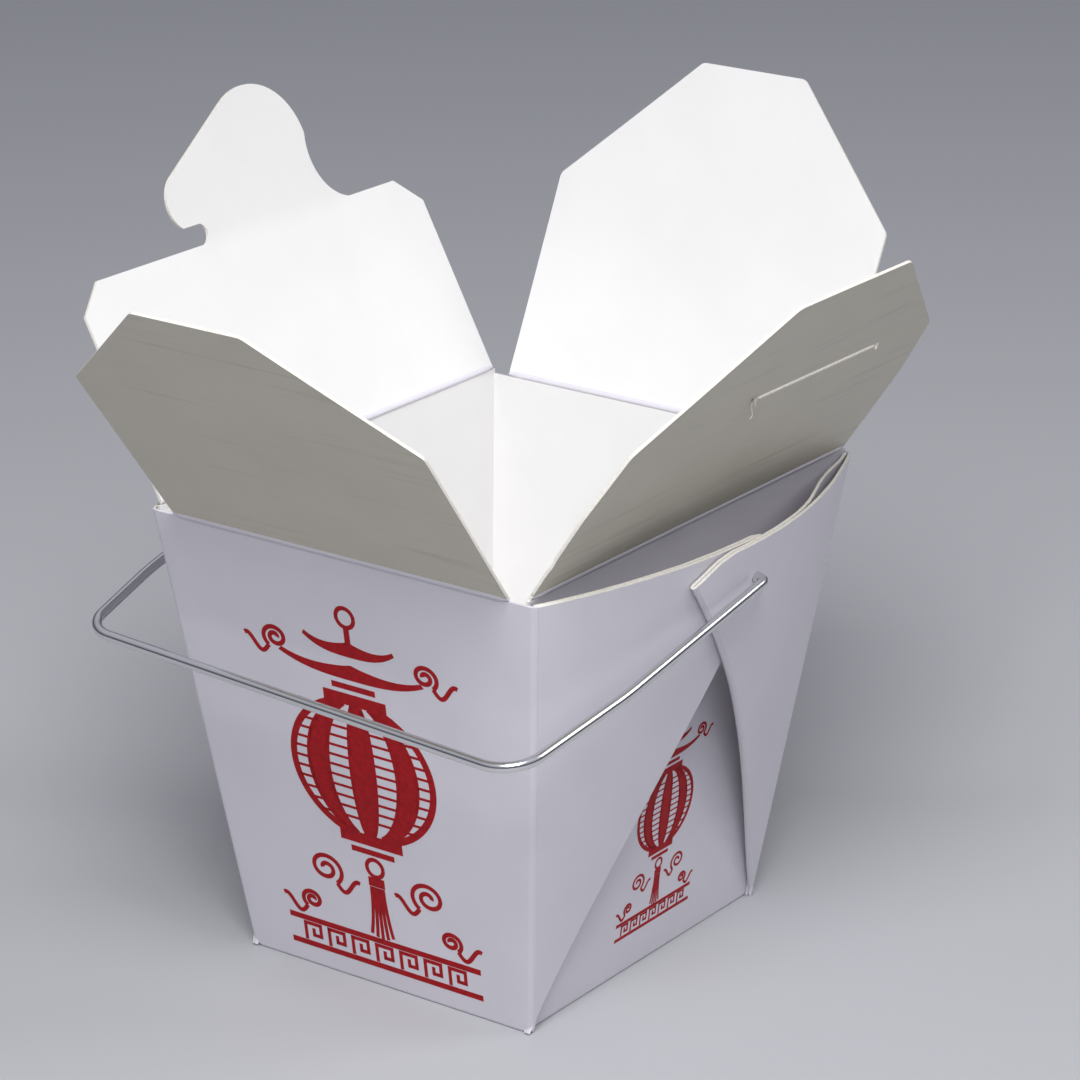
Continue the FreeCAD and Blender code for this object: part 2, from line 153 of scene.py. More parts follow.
def bump(
    tree: Tree, height: Socket, strength: float, depth_mm: float, under: Socket | None = None
) -> Socket:
    """Raise the surface by a real depth, over another bump if given; return the normal.

    Args:
        tree: The node tree that gets the nodes.
        height: The value that raises the surface.
        strength: How much of the relief shows.
        depth_mm: Depth of the relief.
        under: Normal of the bump below it.

    Returns:
        The new normal.
    """
    links = {"Height": height, "Strength": strength, "Distance": depth_mm * MM}
    if under is not None:
        links["Normal"] = under
    return add_node(tree, "ShaderNodeBump", links).outputs["Normal"]


class Grain(enum.Enum):
    """Which way the board's fibres lie, as how fine they are along each axis."""

    X = (26.0, 700.0, 700.0)
    Y = (700.0, 26.0, 700.0)


@dataclass(frozen=True)
class Finish:
    """A surface finish: a name, its main colour and how it takes the light."""

    name: str
    colour: str
    roughness: float
    ior: float = 1.5
    specular: float = 0.5
    metallic: float = 0.0

    def material(self) -> bpy.types.Material:
        """Make the material with the finish's plain values, then dress it.

        Returns:
            The material.
        """
        made = bpy.data.materials.new(self.name)
        made.use_nodes = True
        made.diffuse_color = linear(self.colour)
        main = made.node_tree.nodes["Principled BSDF"]
        main.inputs["Base Color"].default_value = linear(self.colour)
        main.inputs["Roughness"].default_value = self.roughness
        main.inputs["IOR"].default_value = self.ior
        main.inputs["Specular IOR Level"].default_value = self.specular
        main.inputs["Metallic"].default_value = self.metallic
        for name, source in self.dress(made.node_tree).items():
            made.node_tree.links.new(source, main.inputs[name])
        return made

    def dress(self, tree: Tree) -> dict[str, Socket]:
        """Give the textures by the input they feed; a plain finish has none."""
        return {}


@dataclass(frozen=True)
class CoatedBoard(Finish):
    """Clay-coated paperboard: a smooth white coat over pressed fibres, calendered."""

    shade: str = "#c9c9d2"
    streak: float = 0.0
    fibre_mm: float = 0.35
    cloud_mm: float = 14.0
    wave_mm: float = 22.0
    along: Grain | None = None

    def dress(self, tree: Tree) -> dict[str, Socket]:
        """Give faint clouding, fine fibre grain and soft streaks.

        Args:
            tree: The node tree that gets the nodes.

        Returns:
            The textures, by the input that each feeds.
        """
        # coat weight varies over about a centimetre, which the eye reads as soft clouds
        clouds = cells(tree, self.cloud_mm, 3.0)
        tone = ramp(tree, clouds, [(0.3, self.shade), (0.7, self.colour)])
        if self.along:
            tone = self.streaked(tree, tone)
        fine = bump(tree, cells(tree, self.fibre_mm, 4.0), 0.12, 0.04)
        return {
            "Base Color": tone,
            "Roughness": span(tree, clouds, self.roughness - 0.05, self.roughness + 0.07),
            "Normal": bump(tree, cells(tree, self.wave_mm, 1.0), 0.35, 0.8, fine),
        }

    def streaked(self, tree: Tree, tone: Socket) -> Socket:
        """Darken a tone where the fibres show through, as lines that lie one way.

        Args:
            tree: The node tree that gets the nodes.
            tone: The colour without the lines.

        Returns:
            The colour with them.
        """
        where = add_node(tree, "ShaderNodeTexCoord").outputs["Object"]
        links = {0: where, 1: self.along.value}
        drawn = add_node(tree, "ShaderNodeVectorMath", links, operation="MULTIPLY").outputs[0]
        links = {"Vector": drawn, "Scale": 1.0, "Detail": 4.0, "Roughness": 0.6}
        lines = add_node(tree, "ShaderNodeTexNoise", links).outputs["Fac"]
        worn = (1 - self.streak,) * 3 + (1,)
        links = {"Factor": 1.0, 6: tone, 7: ramp(tree, lines, [(0.57, (1, 1, 1, 1)), (0.78, worn)])}
        mixed = add_node(tree, "ShaderNodeMix", links, data_type="RGBA", blend_type="MULTIPLY")
        return mixed.outputs[2]


@dataclass(frozen=True)
class Speckled(Finish):
    """A finish with fine specks of near tones, which also stand up a little."""

    stops: tuple[tuple[float, str], ...] = ()
    speck_mm: float = 0.4
    detail: float = 3.0
    relief: float = 0.4
    depth_mm: float = 0.08

    def dress(self, tree: Tree) -> dict[str, Socket]:
        """Give the specks and their relief.

        Args:
            tree: The node tree that gets the nodes.

        Returns:
            The textures, by the input that each feeds.
        """
        specks = cells(tree, self.speck_mm, self.detail)
        return {
            "Base Color": ramp(tree, specks, self.stops),
            "Normal": bump(tree, specks, self.relief, self.depth_mm),
        }


@dataclass(frozen=True)
class RawEdge(Speckled):
    """The cut edge of the board: uncoated pressed pulp, cream and matt, in layers."""

    stops: tuple[tuple[float, str], ...] = ((0.35, "#e6e1d4"), (0.6, "#f4f1e9"))


@dataclass(frozen=True)
class PrintInk(Speckled):
    """Flexographic ink: one thin red film, uneven where the plate pressed less."""

    stops: tuple[tuple[float, str], ...] = ((0.3, "#960c14"), (0.55, "#a80f19"), (0.75, "#b3141e"))
    speck_mm: float = 0.9
    detail: float = 5.0
    relief: float = 0.1
    depth_mm: float = 0.03


@dataclass(frozen=True)
class DrawnWire(Finish):
    """Bright zinc-plated steel wire, whose scuffs break up its reflections."""

    metallic: float = 1.0
    scuff_mm: float = 2.5

    def dress(self, tree: Tree) -> dict[str, Socket]:
        """Give the scuffs.

        Args:
            tree: The node tree that gets the nodes.

        Returns:
            The textures, by the input that each feeds.
        """
        scuffs = cells(tree, self.scuff_mm, 5.0)
        return {
            "Roughness": span(tree, scuffs, self.roughness - 0.08, self.roughness + 0.12),
            "Normal": bump(tree, scuffs, 0.06, 0.03),
        }


class Palette:
    """Every finish of the carton, made once."""

    def __init__(self) -> None:
        """Make the materials."""
        # the outside coat is cool white; its clouding is faint
        self.outside = CoatedBoard("clay_coated_board", "#dddae2", 0.42, shade="#d9d6de").material()
        # the inside coat is thinner and whiter
        self.inside = CoatedBoard("board_inside", "#ecebea", 0.5, shade="#e9e8e7").material()
        # on the flaps the same board is painted darker and warmer than on the walls: painted shade
        # for flaps that lean out and face down; the grey fibres also show as streaks
        self.flap = {}
        for grain in Grain:
            name = f"flap_board_along_{grain.name.lower()}"
            board = CoatedBoard(name, "#cfc9b9", 0.42, shade="#cac4b4", streak=0.2, along=grain)
            self.flap[grain] = board.material()
        self.edge = RawEdge("cut_board_edge", "#f4f1e9", 0.85).material()
        self.ink = PrintInk("red_flexo_ink", "#a80f19", 0.55, specular=0.2).material()
        self.wire = DrawnWire("zinc_plated_wire", "#e3e3e4", 0.15).material()

    def board(self) -> list[bpy.types.Material]:
        """The materials of a piece of the tray: outside, inside and cut edge."""
        return [self.outside, self.inside, self.edge]


@dataclass
class Form:
    """The carton's driving sizes in millimetres, as the frame has them."""

    board: float = 0.5
    base_width: float = 56.6
    base_depth: float = 68.0
    rim_width: float = 75.6
    rim_depth: float = 95.0
    height: float = 83.0
    crease_drop: float = 0.8
    ply_gap: float = 0.2
    web_start: float = 0.3
    web_bulge: float = 9.2
    corner_round: float = 0.9
    lower_reach: float = 46.5
    upper_reach: float = 48.8
    upper_bow: float = 3.6
    fold_top: float = 77.0
    wall_wave: float = 0.22

    @property
    def stack(self) -> float:
        """Thickness of a folded web."""
        return 2 * self.board + self.ply_gap

    def half_x(self, z: float) -> float:
        """Outside of an end panel, from the middle."""
        return (self.base_width + (self.rim_width - self.base_width) * z / self.height) / 2

    def half_y(self, z: float) -> float:
        """Outside of a narrow wall, from the middle."""
        return (self.base_depth + (self.rim_depth - self.base_depth) * z / self.height) / 2

    def web_x(self, y: float, z: float, extra: float) -> float:
        """Outer surface of a web over the end panel.

        Args:
            y: Place along the end panel.
            z: Height.
            extra: Bulge added for a web that lies over another.

        Returns:
            Distance from the middle plane along X.
        """
        rise = self.web_start + (self.web_bulge - self.web_start) * z / self.height
        part = 1 - (y / self.half_y(z)) ** 2
        return self.half_x(z) + self.stack + (rise + extra) * part

    def wall_soft(self, x: float, z: float, top: float) -> float:
        """How far a narrow wall lies out of true, with nothing along its creases.

        Args:
            x: Place across the wall.
            z: Height.
            top: Height at which the unevenness has faded.

        Returns:
            The distance inwards on the front wall.
        """
        edge = self.half_x(z) + self.stack - self.corner_round - abs(x)
        wave = self.wall_wave * noise.noise(Vector((x * 0.04, 3.0, z * 0.04)))
        return wave * smooth(0, 14, z) * smooth(0, 12, top - z) * smooth(0, 12, edge)


@dataclass
class MeshParts:
    """Vertices and faces being gathered, with a material number for each face."""

    points: list[Vector] = field(default_factory=list)
    faces: list[tuple[int, ...]] = field(default_factory=list)
    slots: list[int] = field(default_factory=list)

    def build(
        self, name: str, materials: Sequence[bpy.types.Material], sharp: float = 40.0
    ) -> bpy.types.Object:
        """Turn what was gathered into a smooth-shaded object.

        Args:
            name: The piece's name.
            materials: One material for each number used.
            sharp: Edges that turn by more degrees than this stay sharp.

        Returns:
            The new object, in metres.
        """
        mesh = bpy.data.meshes.new(name)
        mesh.from_pydata([tuple(p * MM) for p in self.points], [], self.faces)
        for material in materials:
            mesh.materials.append(material)
        mesh.polygons.foreach_set("material_index", self.slots)
        mesh.validate()
        mesh.shade_smooth()
        mesh.set_sharp_from_angle(angle=math.radians(sharp))
        piece = bpy.data.objects.new(name, mesh)
        bpy.context.collection.objects.link(piece)
        return piece

    def grid(
        self,
        rows: list[list[Vector]],
        board: float,
        turn: Matrix | None = None,
        edge: int = 2,
    ) -> None:
        """Add a sheet with a thickness from a grid of points on its middle surface.

        Args:
            rows: Points, row by row; the outside lies to the side that the rows'
                direction crossed with the columns' direction gives.
            board: Thickness of the sheet.
            turn: Optional placement of the finished sheet.
            edge: Material number of the cut edge.
        """
        tall, wide = len(rows), len(rows[0])
        start = len(self.points)
        normals = [[Vector()] * wide for _ in range(tall)]
        for i in range(tall):
            for j in range(wide):
                up = rows[min(i + 1, tall - 1)][j] - rows[max(i - 1, 0)][j]
                along = rows[i][min(j + 1, wide - 1)] - rows[i][max(j - 1, 0)]
                normals[i][j] = along.cross(up).normalized()
        for side in (0.5, -0.5):
            for i in range(tall):
                for j in range(wide):
                    point = rows[i][j] + normals[i][j] * board * side
                    self.points.append(turn @ point if turn else point)
        layer = tall * wide

        def at(i: int, j: int, back: int) -> int:
            """Number of a point of the front or back layer."""
            return start + back * layer + i * wide + j

        for i in range(tall - 1):
            for j in range(wide - 1):
                a, b, c, d = (i, j), (i, j + 1), (i + 1, j + 1), (i + 1, j)
                self.faces.append(tuple(at(*spot, 0) for spot in (a, b, c, d)))
                self.faces.append(tuple(at(*spot, 1) for spot in (a, d, c, b)))
                self.slots += [0, 1]
        border = [(0, j) for j in range(wide)]
        border += [(i, wide - 1) for i in range(1, tall)]
        border += [(tall - 1, j) for j in range(wide - 2, -1, -1)]
        border += [(i, 0) for i in range(tall - 2, 0, -1)]
        for (i, j), (k, m) in zip(border, border[1:] + border[:1]):
            self.faces.append((at(i, j, 0), at(i, j, 1), at(k, m, 1), at(k, m, 0)))
            self.slots.append(edge)

    def sheet(
        self,
        outline: list[Point],
        holes: list[list[Point]],
        spacing: float,
        place: Surface,
        board: float,
    ) -> None:
        """Add a sheet cut to an outline and laid on a middle surface.

        Args:
            outline: The cut edge, anticlockwise, in the sheet's own flat plane.
            holes: Cut-outs inside it.
            spacing: Distance between the points that let the sheet bend.
            place: Gives the place of a flat point.
            board: Thickness of the sheet.
        """
        flat, edges, loops = [], [], []
        for loop in [outline, *holes]:
            first = len(flat)
            flat += [Vector(p) for p in loop]
            ring = list(range(first, len(flat)))
            edges += list(zip(ring, ring[1:] + ring[:1]))
            loops.append([Vector(p) for p in loop])
        low = (min(p[0] for p in outline), min(p[1] for p in outline))
        high = (max(p[0] for p in outline), max(p[1] for p in outline))
        for i in range(1, int((high[0] - low[0]) / spacing)):
            for j in range(1, int((high[1] - low[1]) / spacing)):
                spot = Vector((low[0] + i * spacing, low[1] + j * spacing))
                if inside(spot, loops[0], spacing * 0.4) and not any(
                    inside(spot, hole, -spacing * 0.4) for hole in loops[1:]
                ):
                    flat.append(spot)
        points, _, faces, *_ = delaunay_2d_cdt(flat, edges, [], 0, 1e-5)
        kept = []
        for face in faces:
            a, b, c = (points[n] for n in face)
            if abs((b - a).cross(c - a)) < SLIVER:
                continue
            centre = (a + b + c) / 3
            if inside(centre, loops[0], 0) and not any(inside(centre, h, 0) for h in loops[1:]):
                kept.append(face)
        self.thicken(points, kept, place, board)

    def thicken(
        self,
        flat: Sequence[Vector],
        faces: Sequence[Sequence[int]],
        place: Surface,
        board: float,
    ) -> None:
        """Give flat triangles a thickness about the surface that place describes.

        Args:
            flat: The flat points.
            faces: Triangles, as numbers of points.
            place: The surface.
            board: The thickness.
        """
        step = PROBE
        start, count = len(self.points), len(flat)
        middles, normals = [], []
        for p in flat:
            here = place(p.x, p.y)
            across = place(p.x + step, p.y) - place(p.x - step, p.y)
            up = place(p.x, p.y + step) - place(p.x, p.y - step)
            middles.append(here)
            normals.append(across.cross(up).normalized())
        for side in (0.5, -0.5):
            self.points += [m + n * board * side for m, n in zip(middles, normals)]
        used: dict[tuple[int, int], int] = {}
        for face in faces:
            a, b, c = face
            if (flat[b] - flat[a]).cross(flat[c] - flat[a]) < 0:
                a, b, c = a, c, b
            self.faces.append((start + a, start + b, start + c))
            self.slots.append(0)
            self.faces.append((start + count + a, start + count + c, start + count + b))
            self.slots.append(1)
            for edge in ((a, b), (b, c), (c, a)):
                used[edge] = used.get(edge, 0) + 1
        for a, b in used:
            if (b, a) not in used:
                self.faces.append((start + a, start + count + a, start + count + b, start + b))
                self.slots.append(2)

    def tube(self, rings: list[list[Vector]], side: int, end: int) -> None:
        """Join rings of points to a bar with closed ends.

        Args:
            rings: The rings in order, each with as many points.
            side: Material number of the bar.
            end: Material number of its ends.
        """
        start, around = len(self.points), len(rings[0])
        self.points += [point for ring in rings for point in ring]
        for n in range(len(rings) - 1):
            for k in range(around):
                a = start + n * around + k
                b = start + n * around + (k + 1) % around
                self.faces.append((a, b, b + around, a + around))
                self.slots.append(side)
        last = start + (len(rings) - 1) * around
        self.faces.append(tuple(range(start, start + around))[::-1])
        self.faces.append(tuple(range(last, last + around)))
        self.slots += [end, end]


def inside(spot: Vector, loop: list[Vector], margin: float) -> bool:
    """Whether a flat point lies in a closed loop, at least margin from its edge.

    Args:
        spot: The point.
        loop: The loop's points.
        margin: Distance from the edge; below 0, how far outside still counts.

    Returns:
        Whether it does.
    """
    hit = False
    near = 1e9
    for a, b in zip(loop, loop[1:] + loop[:1]):
        if (a.y > spot.y) != (b.y > spot.y):
            if spot.x < (b.x - a.x) * (spot.y - a.y) / (b.y - a.y) + a.x:
                hit = not hit
        edge = b - a
        share = max(0.0, min(1.0, (spot - a).dot(edge) / max(edge.length_squared, 1e-12)))
        near = min(near, (spot - a - edge * share).length)
    if margin > 0:
        return hit and near > margin
    return hit or near < -margin


def arc(start: Point, end: Point, radius: float, side: int, steps: int = 10) -> list[Point]:
    """Points of the short arc from start up to, but not with, end.

    Args:
        start: First point.
        end: Last point, left out.
        radius: The arc's radius.
        side: 1 if the arc swells to the left of the chord, -1 to the right.
        steps: Number of points.

    Returns:
        The points.
    """
    a, b = Vector(start), Vector(end)
    chord = b - a
    half = chord.length / 2
    rise = math.sqrt(max(radius * radius - half * half, 0.0))
    across = Vector((-chord.y, chord.x)).normalized()
    centre = (a + b) / 2 - across * rise * side
    first = math.atan2(a.y - centre.y, a.x - centre.x)
    last = math.atan2(b.y - centre.y, b.x - centre.x)
    while side > 0 and last > first:
        last -= 2 * math.pi
    while side < 0 and last < first:
        last += 2 * math.pi
    angles = [first + (last - first) * n / steps for n in range(steps)]
    return [(centre.x + radius * math.cos(t), centre.y + radius * math.sin(t)) for t in angles]


def bend(first: Vector, middle: Vector, last: Vector, t: float) -> Vector:
    """A point of the smooth bend from first to last that the middle pulls."""
    return first * (1 - t) ** 2 + middle * 2 * t * (1 - t) + last * t * t


def rounded(corners: list[Point], radius: float) -> list[Point]:
    """A polygon with each corner cut to a small round.

    Args:
        corners: The corners, in order.
        radius: How far a round reaches along its sides.

    Returns:
        The rounded polygon.
    """
    made: list[Point] = []
    for n, corner in enumerate(corners):
        here = Vector(corner)
        back = Vector(corners[n - 1]) - here
        ahead = Vector(corners[(n + 1) % len(corners)]) - here
        reach = min(radius, back.length * 0.4, ahead.length * 0.4)
        first = here + back.normalized() * reach
        last = here + ahead.normalized() * reach
        made += [tuple(bend(first, here, last, k / 4)) for k in range(5)]
    return made


def circle(u: float, v: float, radius: float, count: int) -> list[Point]:
    """Points round a circle."""
    angles = [2 * math.pi * n / count for n in range(count)]
    return [(u + radius * math.cos(a), v + radius * math.sin(a)) for a in angles]


def round_section(middle: Vector, one: Vector, other: Vector, count: int) -> list[Vector]:
    """Points round a middle, from two arms that are square and as long as the radius."""
    angles = [2 * math.pi * n / count for n in range(count)]
    return [middle + one * math.cos(a) + other * math.sin(a) for a in angles]


def heading(path: Sequence[Vector], n: int) -> Vector:
    """Which way a path runs at its nth point."""
    return (path[min(n + 1, len(path) - 1)] - path[max(n - 1, 0)]).normalized()


def half_turned(place: Surface, turned: bool) -> Surface:
    """The same surface, or its copy on the opposite side of the carton."""
    return (lambda u, v: HALF_TURN @ place(u, v)) if turned else place


HINGES = {joint["name"]: joint for joint in frame["joints"]}


def hinge_place(name: str) -> Vector:
    """Where a joint of the frame lies, in millimetres."""
    return Vector(HINGES[name]["pos_m"]) / MM


def seat(piece: bpy.types.Object, body: str, slot: str, *nodes: str) -> bpy.types.Object:
    """Let a piece ride a body and stand for nodes of the frame.

    Args:
        piece: The piece.
        body: The body that it rides.
        slot: Its material slot; not used.
        *nodes: The nodes that it replaces.

    Returns:
        The same piece.
    """
    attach(piece, body)
    if nodes:
        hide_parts(*nodes)
    LOG.info("%s: %d faces on %s", piece.name, len(piece.data.polygons), body)
    return piece


@dataclass
class Web:
    """One corner web: two plies folded double and laid over an end panel."""

    name: str
    form: Form
    reach: float
    bow: float
    extra: float
    mirrored: bool
    turned: bool
    clip_run: float = 7.0
    rim_dip: float = 2.1
    rim_drop: float = 1.2
    parting: float = 0.0
    parting_at: float = -12.0
    hole_y: float = 3.0
    hole_z: float = 74.0
    hole_radius: float = 0.98
    folded_below: float = 3.2
    wave: float = 0.16
    wave_rate: float = 0.035
    parting_from: float = 58.0
    parting_width: float = 9.0
    torn_depth: float = 0.12
    torn_rate: float = 0.22
    spacing: float = 2.4

    def fold(self, share: float, inset: float = 0.0) -> Point:
        """A point on the folded edge, from the base corner to its top.

        Args:
            share: How far up the edge, from 0 to 1.
            inset: How far the edge is drawn in.

        Returns:
            The point, as seen from the end.
        """
        start = Vector((-self.form.base_depth / 2, 0.0))
        end = Vector((self.reach - self.form.base_depth / 2, self.form.fold_top))
        across = Vector((start.y - end.y, end.x - start.x)).normalized()
        swell = self.bow * 4 * share * (1 - share)
        spot = start.lerp(end, share) + across * (swell + inset)
        return spot.x, max(spot.y, 0.02)

    def outline(self, inset: float) -> list[Point]:
        """The web's cut edge as seen from the end, its corner at the left.

        Args:
            inset: How far the folded edge is drawn in, for its round.

        Returns:
            The outline, anticlockwise.
        """
        form, low, steps = self.form, 0.1, 30
        turn = form.corner_round
        rim = form.height - self.rim_drop
        points = [self.fold(n / steps, inset) for n in range(1, steps + 1)]
        clip = (points[-1][0] - self.clip_run, form.height - self.rim_dip)
        corner = (-form.half_y(rim) + turn, rim)
        made = [(-form.half_y(1.0) + turn, low), *points]
        made += self.torn(points[-1], clip, 5)
        made += self.torn(clip, corner, 24)
        made.append(corner)
        for n in range(1, steps):
            z = rim + (low - rim) * n / steps
            made.append((-form.half_y(z) + turn, z))
        return made if self.anticlockwise(made) else made[::-1]

    @staticmethod
    def anticlockwise(loop: Sequence[Point]) -> bool:
        """Whether a loop runs anticlockwise."""
        return sum(a[0] * b[1] - b[0] * a[1] for a, b in zip(loop, [*loop[1:], loop[0]])) > 0

    def torn(self, start: Point, end: Point, steps: int) -> list[Point]:
        """Points between two ends of a cut, very slightly uneven.

        Args:
            start: One end.
            end: The other end.
            steps: Number of parts.

        Returns:
            The points between them.
        """
        a, b = Vector(start), Vector(end)
        made = []
        for n in range(1, steps):
            spot = a.lerp(b, n / steps)
            at = spot * self.torn_rate
            wave = self.torn_depth * noise.noise(Vector((at.x, at.y, self.extra)))
            made.append((spot.x, spot.y - abs(wave)))
        return made

    def hole(self) -> list[Point]:
        """The punched wire hole, seen from the end."""
        y = self.hole_y * (-1 if self.turned != self.mirrored else 1)
        return circle(y, self.hole_z, self.hole_radius, 20)

    def place(self, depth: float, part: float = 0.0) -> Surface:
        """Give the surface that a ply follows.

        Args:
            depth: How far the ply's middle lies under the outer surface.
            part: How far the ply parts inward near its rim.

        Returns:
            A function of the place along the end panel and the height.
        """

        def at(y: float, z: float) -> Vector:
            """The ply's surface.

            Args:
                y: Place along the end panel.
                z: Height.

            Returns:
                The point.
            """
            own_y = -y if self.mirrored else y
            x = self.form.web_x(y, z, self.extra) - depth
            rate = self.wave_rate
            soft = self.wave * noise.noise(Vector((own_y * rate, z * rate, self.reach)))
            x += soft * smooth(0, 12, z) * smooth(0, 10, self.form.half_y(z) - abs(y))
            off = (own_y - self.parting_at) / self.parting_width
            lip = smooth(self.parting_from, self.form.height, z) * math.exp(-(off**2))
            return Vector((x - part * lip, y, z))

        return half_turned(at, self.turned)

    def side(self, loop: list[Point]) -> list[Point]:
        """Turn a loop over if this web belongs to the other corner."""
        return [(-y, z) for y, z in loop][::-1] if self.mirrored else loop

    def build(self, finishes: Palette) -> bpy.types.Object:
        """Make the web: outer ply, inner ply and the round of the fold.

        Args:
            finishes: The carton's materials.

        Returns:
            The new piece.
        """
        form, parts = self.form, MeshParts()
        half = form.board / 2
        outline = self.side(self.outline(form.stack / 2))
        hole = self.side(self.hole())
        holes = [hole] if self.covers(hole, outline) else []
        for depth, part in ((half, 0.0), (form.stack - half, self.parting)):
            parts.sheet(outline, holes, self.spacing, self.place(depth, part), form.board)
        self.fold_round(parts)
        # at the base corner the board is folded, not cut, so its coat runs round
        for n, face in enumerate(parts.faces):
            if sum(parts.points[k].z for k in face) < self.folded_below * len(face):
                parts.slots[n] = 0
        return parts.build(self.name, finishes.board(), sharp=50)

    @staticmethod
    def covers(hole: list[Point], outline: list[Point]) -> bool:
        """Whether the hole lies in the web."""
        loop = [Vector(p) for p in outline]
        return all(inside(Vector(p), loop, 0) for p in hole)

    def fold_round(self, parts: MeshParts) -> None:
        """Add the half round that joins the two plies along the fold.

        Args:
            parts: The mesh that it is added to.
        """
        radius = self.form.stack / 2
        lap = radius - self.form.board / 2
        flip = -1 if self.mirrored else 1
        rows, count = [], 34
        for n in range(count + 1):
            share = n / count
            here = Vector(self.fold(share, radius))
            ahead = Vector(self.fold(min(share + 0.01, 1.0), radius))
            back = Vector(self.fold(max(share - 0.01, 0.0), radius))
            along = (ahead - back).normalized()
            over = Vector((-along.y, along.x))
            row = []
            for k in range(9):
                turn = math.pi * k / 8
                flat = here - over * lap * math.sin(turn)
                depth = radius - lap * math.cos(turn)
                row.append(self.place(depth)(flip * flat.x, flat.y))
            rows.append(row[::flip])
        parts.grid(rows, self.form.board)


@dataclass
class Tray:
    """Base, narrow walls with their turned corners, end panels and all four webs."""

    form: Form
    rim_gap: float = 0.42
    upper_extra: float = 1.6
    dent_depth: float = 0.9
    dent_y: float = -7.5
    dent_z: float = 79.0
    dent_half_width: float = 2.6
    dent_half_height: float = 1.6

    def wall_rows(self) -> list[list[Vector]]:
        """The front wall from corner to corner, with its turns into the webs.

        Returns:
            Points on the board's middle, row by row.
        """
        form = self.form
        half, turn = form.board / 2, form.corner_round
        top = form.height - form.crease_drop - self.rim_gap
        rows, steps, columns, turn_steps = [], 40, 24, 6
        shares = [t / turn_steps for t in range(turn_steps + 1)]
        for i in range(steps + 1):
            z = 0.5 + (top - 0.5) * i / steps
            y = -form.half_y(z)
            left = [self.corner(y, z, turn, self.upper_extra, t) for t in shares]
            row = [Vector((-p.x, p.y, p.z)) for p in left[::-1]]
            x_left, x_right = row[-1].x, form.half_x(z) + form.stack - turn
            for n in range(1, columns):
                x = x_left + (x_right - x_left) * n / columns
                row.append(Vector((x, y + half + form.wall_soft(x, z, top), z)))
            row += [self.corner(y, z, turn, 0.0, t) for t in shares]
            rows.append(row)
        return rows

    def corner(self, y: float, z: float, turn: float, extra: float, t: float) -> Vector:
        """A point of the turn from the front wall into a web, on the board's middle.

        Args:
            y: The wall's outside at that height.
            z: Height.
            turn: Radius of the turn.
            extra: Bulge added to the web.
            t: How far round, from 0 to 1.

        Returns:
            The point.
        """
        form = self.form
        half, side, last_y = form.board / 2, form.half_x(z) + form.stack, y + turn
        first = Vector((side - turn, y + half, z))
        last = Vector((form.web_x(last_y, z, extra) - half, last_y, z))
        return bend(first, Vector((side - half, y + half, z)), last, t)

    def end_panel(self, y: float, z: float) -> Vector:
        """The middle surface of the right end panel, with its one soft dent.

        Args:
            y: Place along the end panel.
            z: Height.

        Returns:
            The point.
        """
        form = self.form
        x = form.half_x(z) - form.board / 2
        across = (y - self.dent_y) / self.dent_half_width
        up = (z - self.dent_z) / self.dent_half_height
        dent = math.exp(-(across**2) - (up**2))
        return Vector((x - self.dent_depth * dent, y, z))

    def build_board(self, finishes: Palette) -> bpy.types.Object:
        """Make the base, the walls and the end panels as one sheet.

        Args:
            finishes: The carton's materials.

        Returns:
            The new piece.
        """
        form, parts = self.form, MeshParts()
        for turn in (None, HALF_TURN):
            parts.grid(self.wall_rows(), form.board, turn, edge=0)
        top, foot, clear, spacing = form.height - self.rim_gap, 0.5, 0.3, 2.5
        low, high = form.half_y(foot) - clear, form.half_y(top) - clear
        outline = self.divided([(-low, foot), (low, foot), (high, top), (-high, top)], spacing)
        for turned in (False, True):
            parts.sheet(outline, [], spacing, half_turned(self.end_panel, turned), form.board)
        self.base(parts)
        return parts.build("carton_board", finishes.board(), sharp=50)

    @staticmethod
    def divided(corners: list[Point], spacing: float) -> list[Point]:
        """Put points along a polygon's sides, at about the given spacing.

        Args:
            corners: The corners, in order.
            spacing: The spacing.

        Returns:
            The polygon with the added points.
        """
        made = []
        for a, b in zip(corners, corners[1:] + corners[:1]):
            start, end = Vector(a), Vector(b)
            steps = max(1, round((end - start).length / spacing))
            made += [tuple(start.lerp(end, n / steps)) for n in range(steps)]
        return made

    def base(self, parts: MeshParts) -> None:
        """Add the base, its four edges turned up in a small round.

        Args:
            parts: The mesh that it is added to.
        """
        form = self.form
        half, turn, spacing = form.board / 2, 0.5, 3.0
        wide, deep = form.half_x(0.5), form.half_y(0.5)
        x, y = wide - turn, deep - turn
        under = rounded([(-x, -y), (x, -y), (x, y), (-x, y)], 0.3)
        under = self.divided([(u, -v) for u, v in under][::-1], spacing)
        parts.sheet(under, [], spacing, lambda u, v: Vector((u, -v, half)), form.board)
        angles = [math.pi / 2 * k / 5 for k in range(6)]
        shares = [2 * n / 12 - 1 for n in range(13)]
        for turned in (None, HALF_TURN):
            for long_side in (True, False):
                rows = []
                for angle in angles:
                    out, z = half * math.sin(angle), turn - half * math.cos(angle)
                    if long_side:
                        rows.append([Vector((s * (wide - 0.3), -y - out, z)) for s in shares])
                    else:
                        rows.append([Vector((x + out, s * y, z)) for s in shares])
                parts.grid(rows, form.board, turned, edge=0)

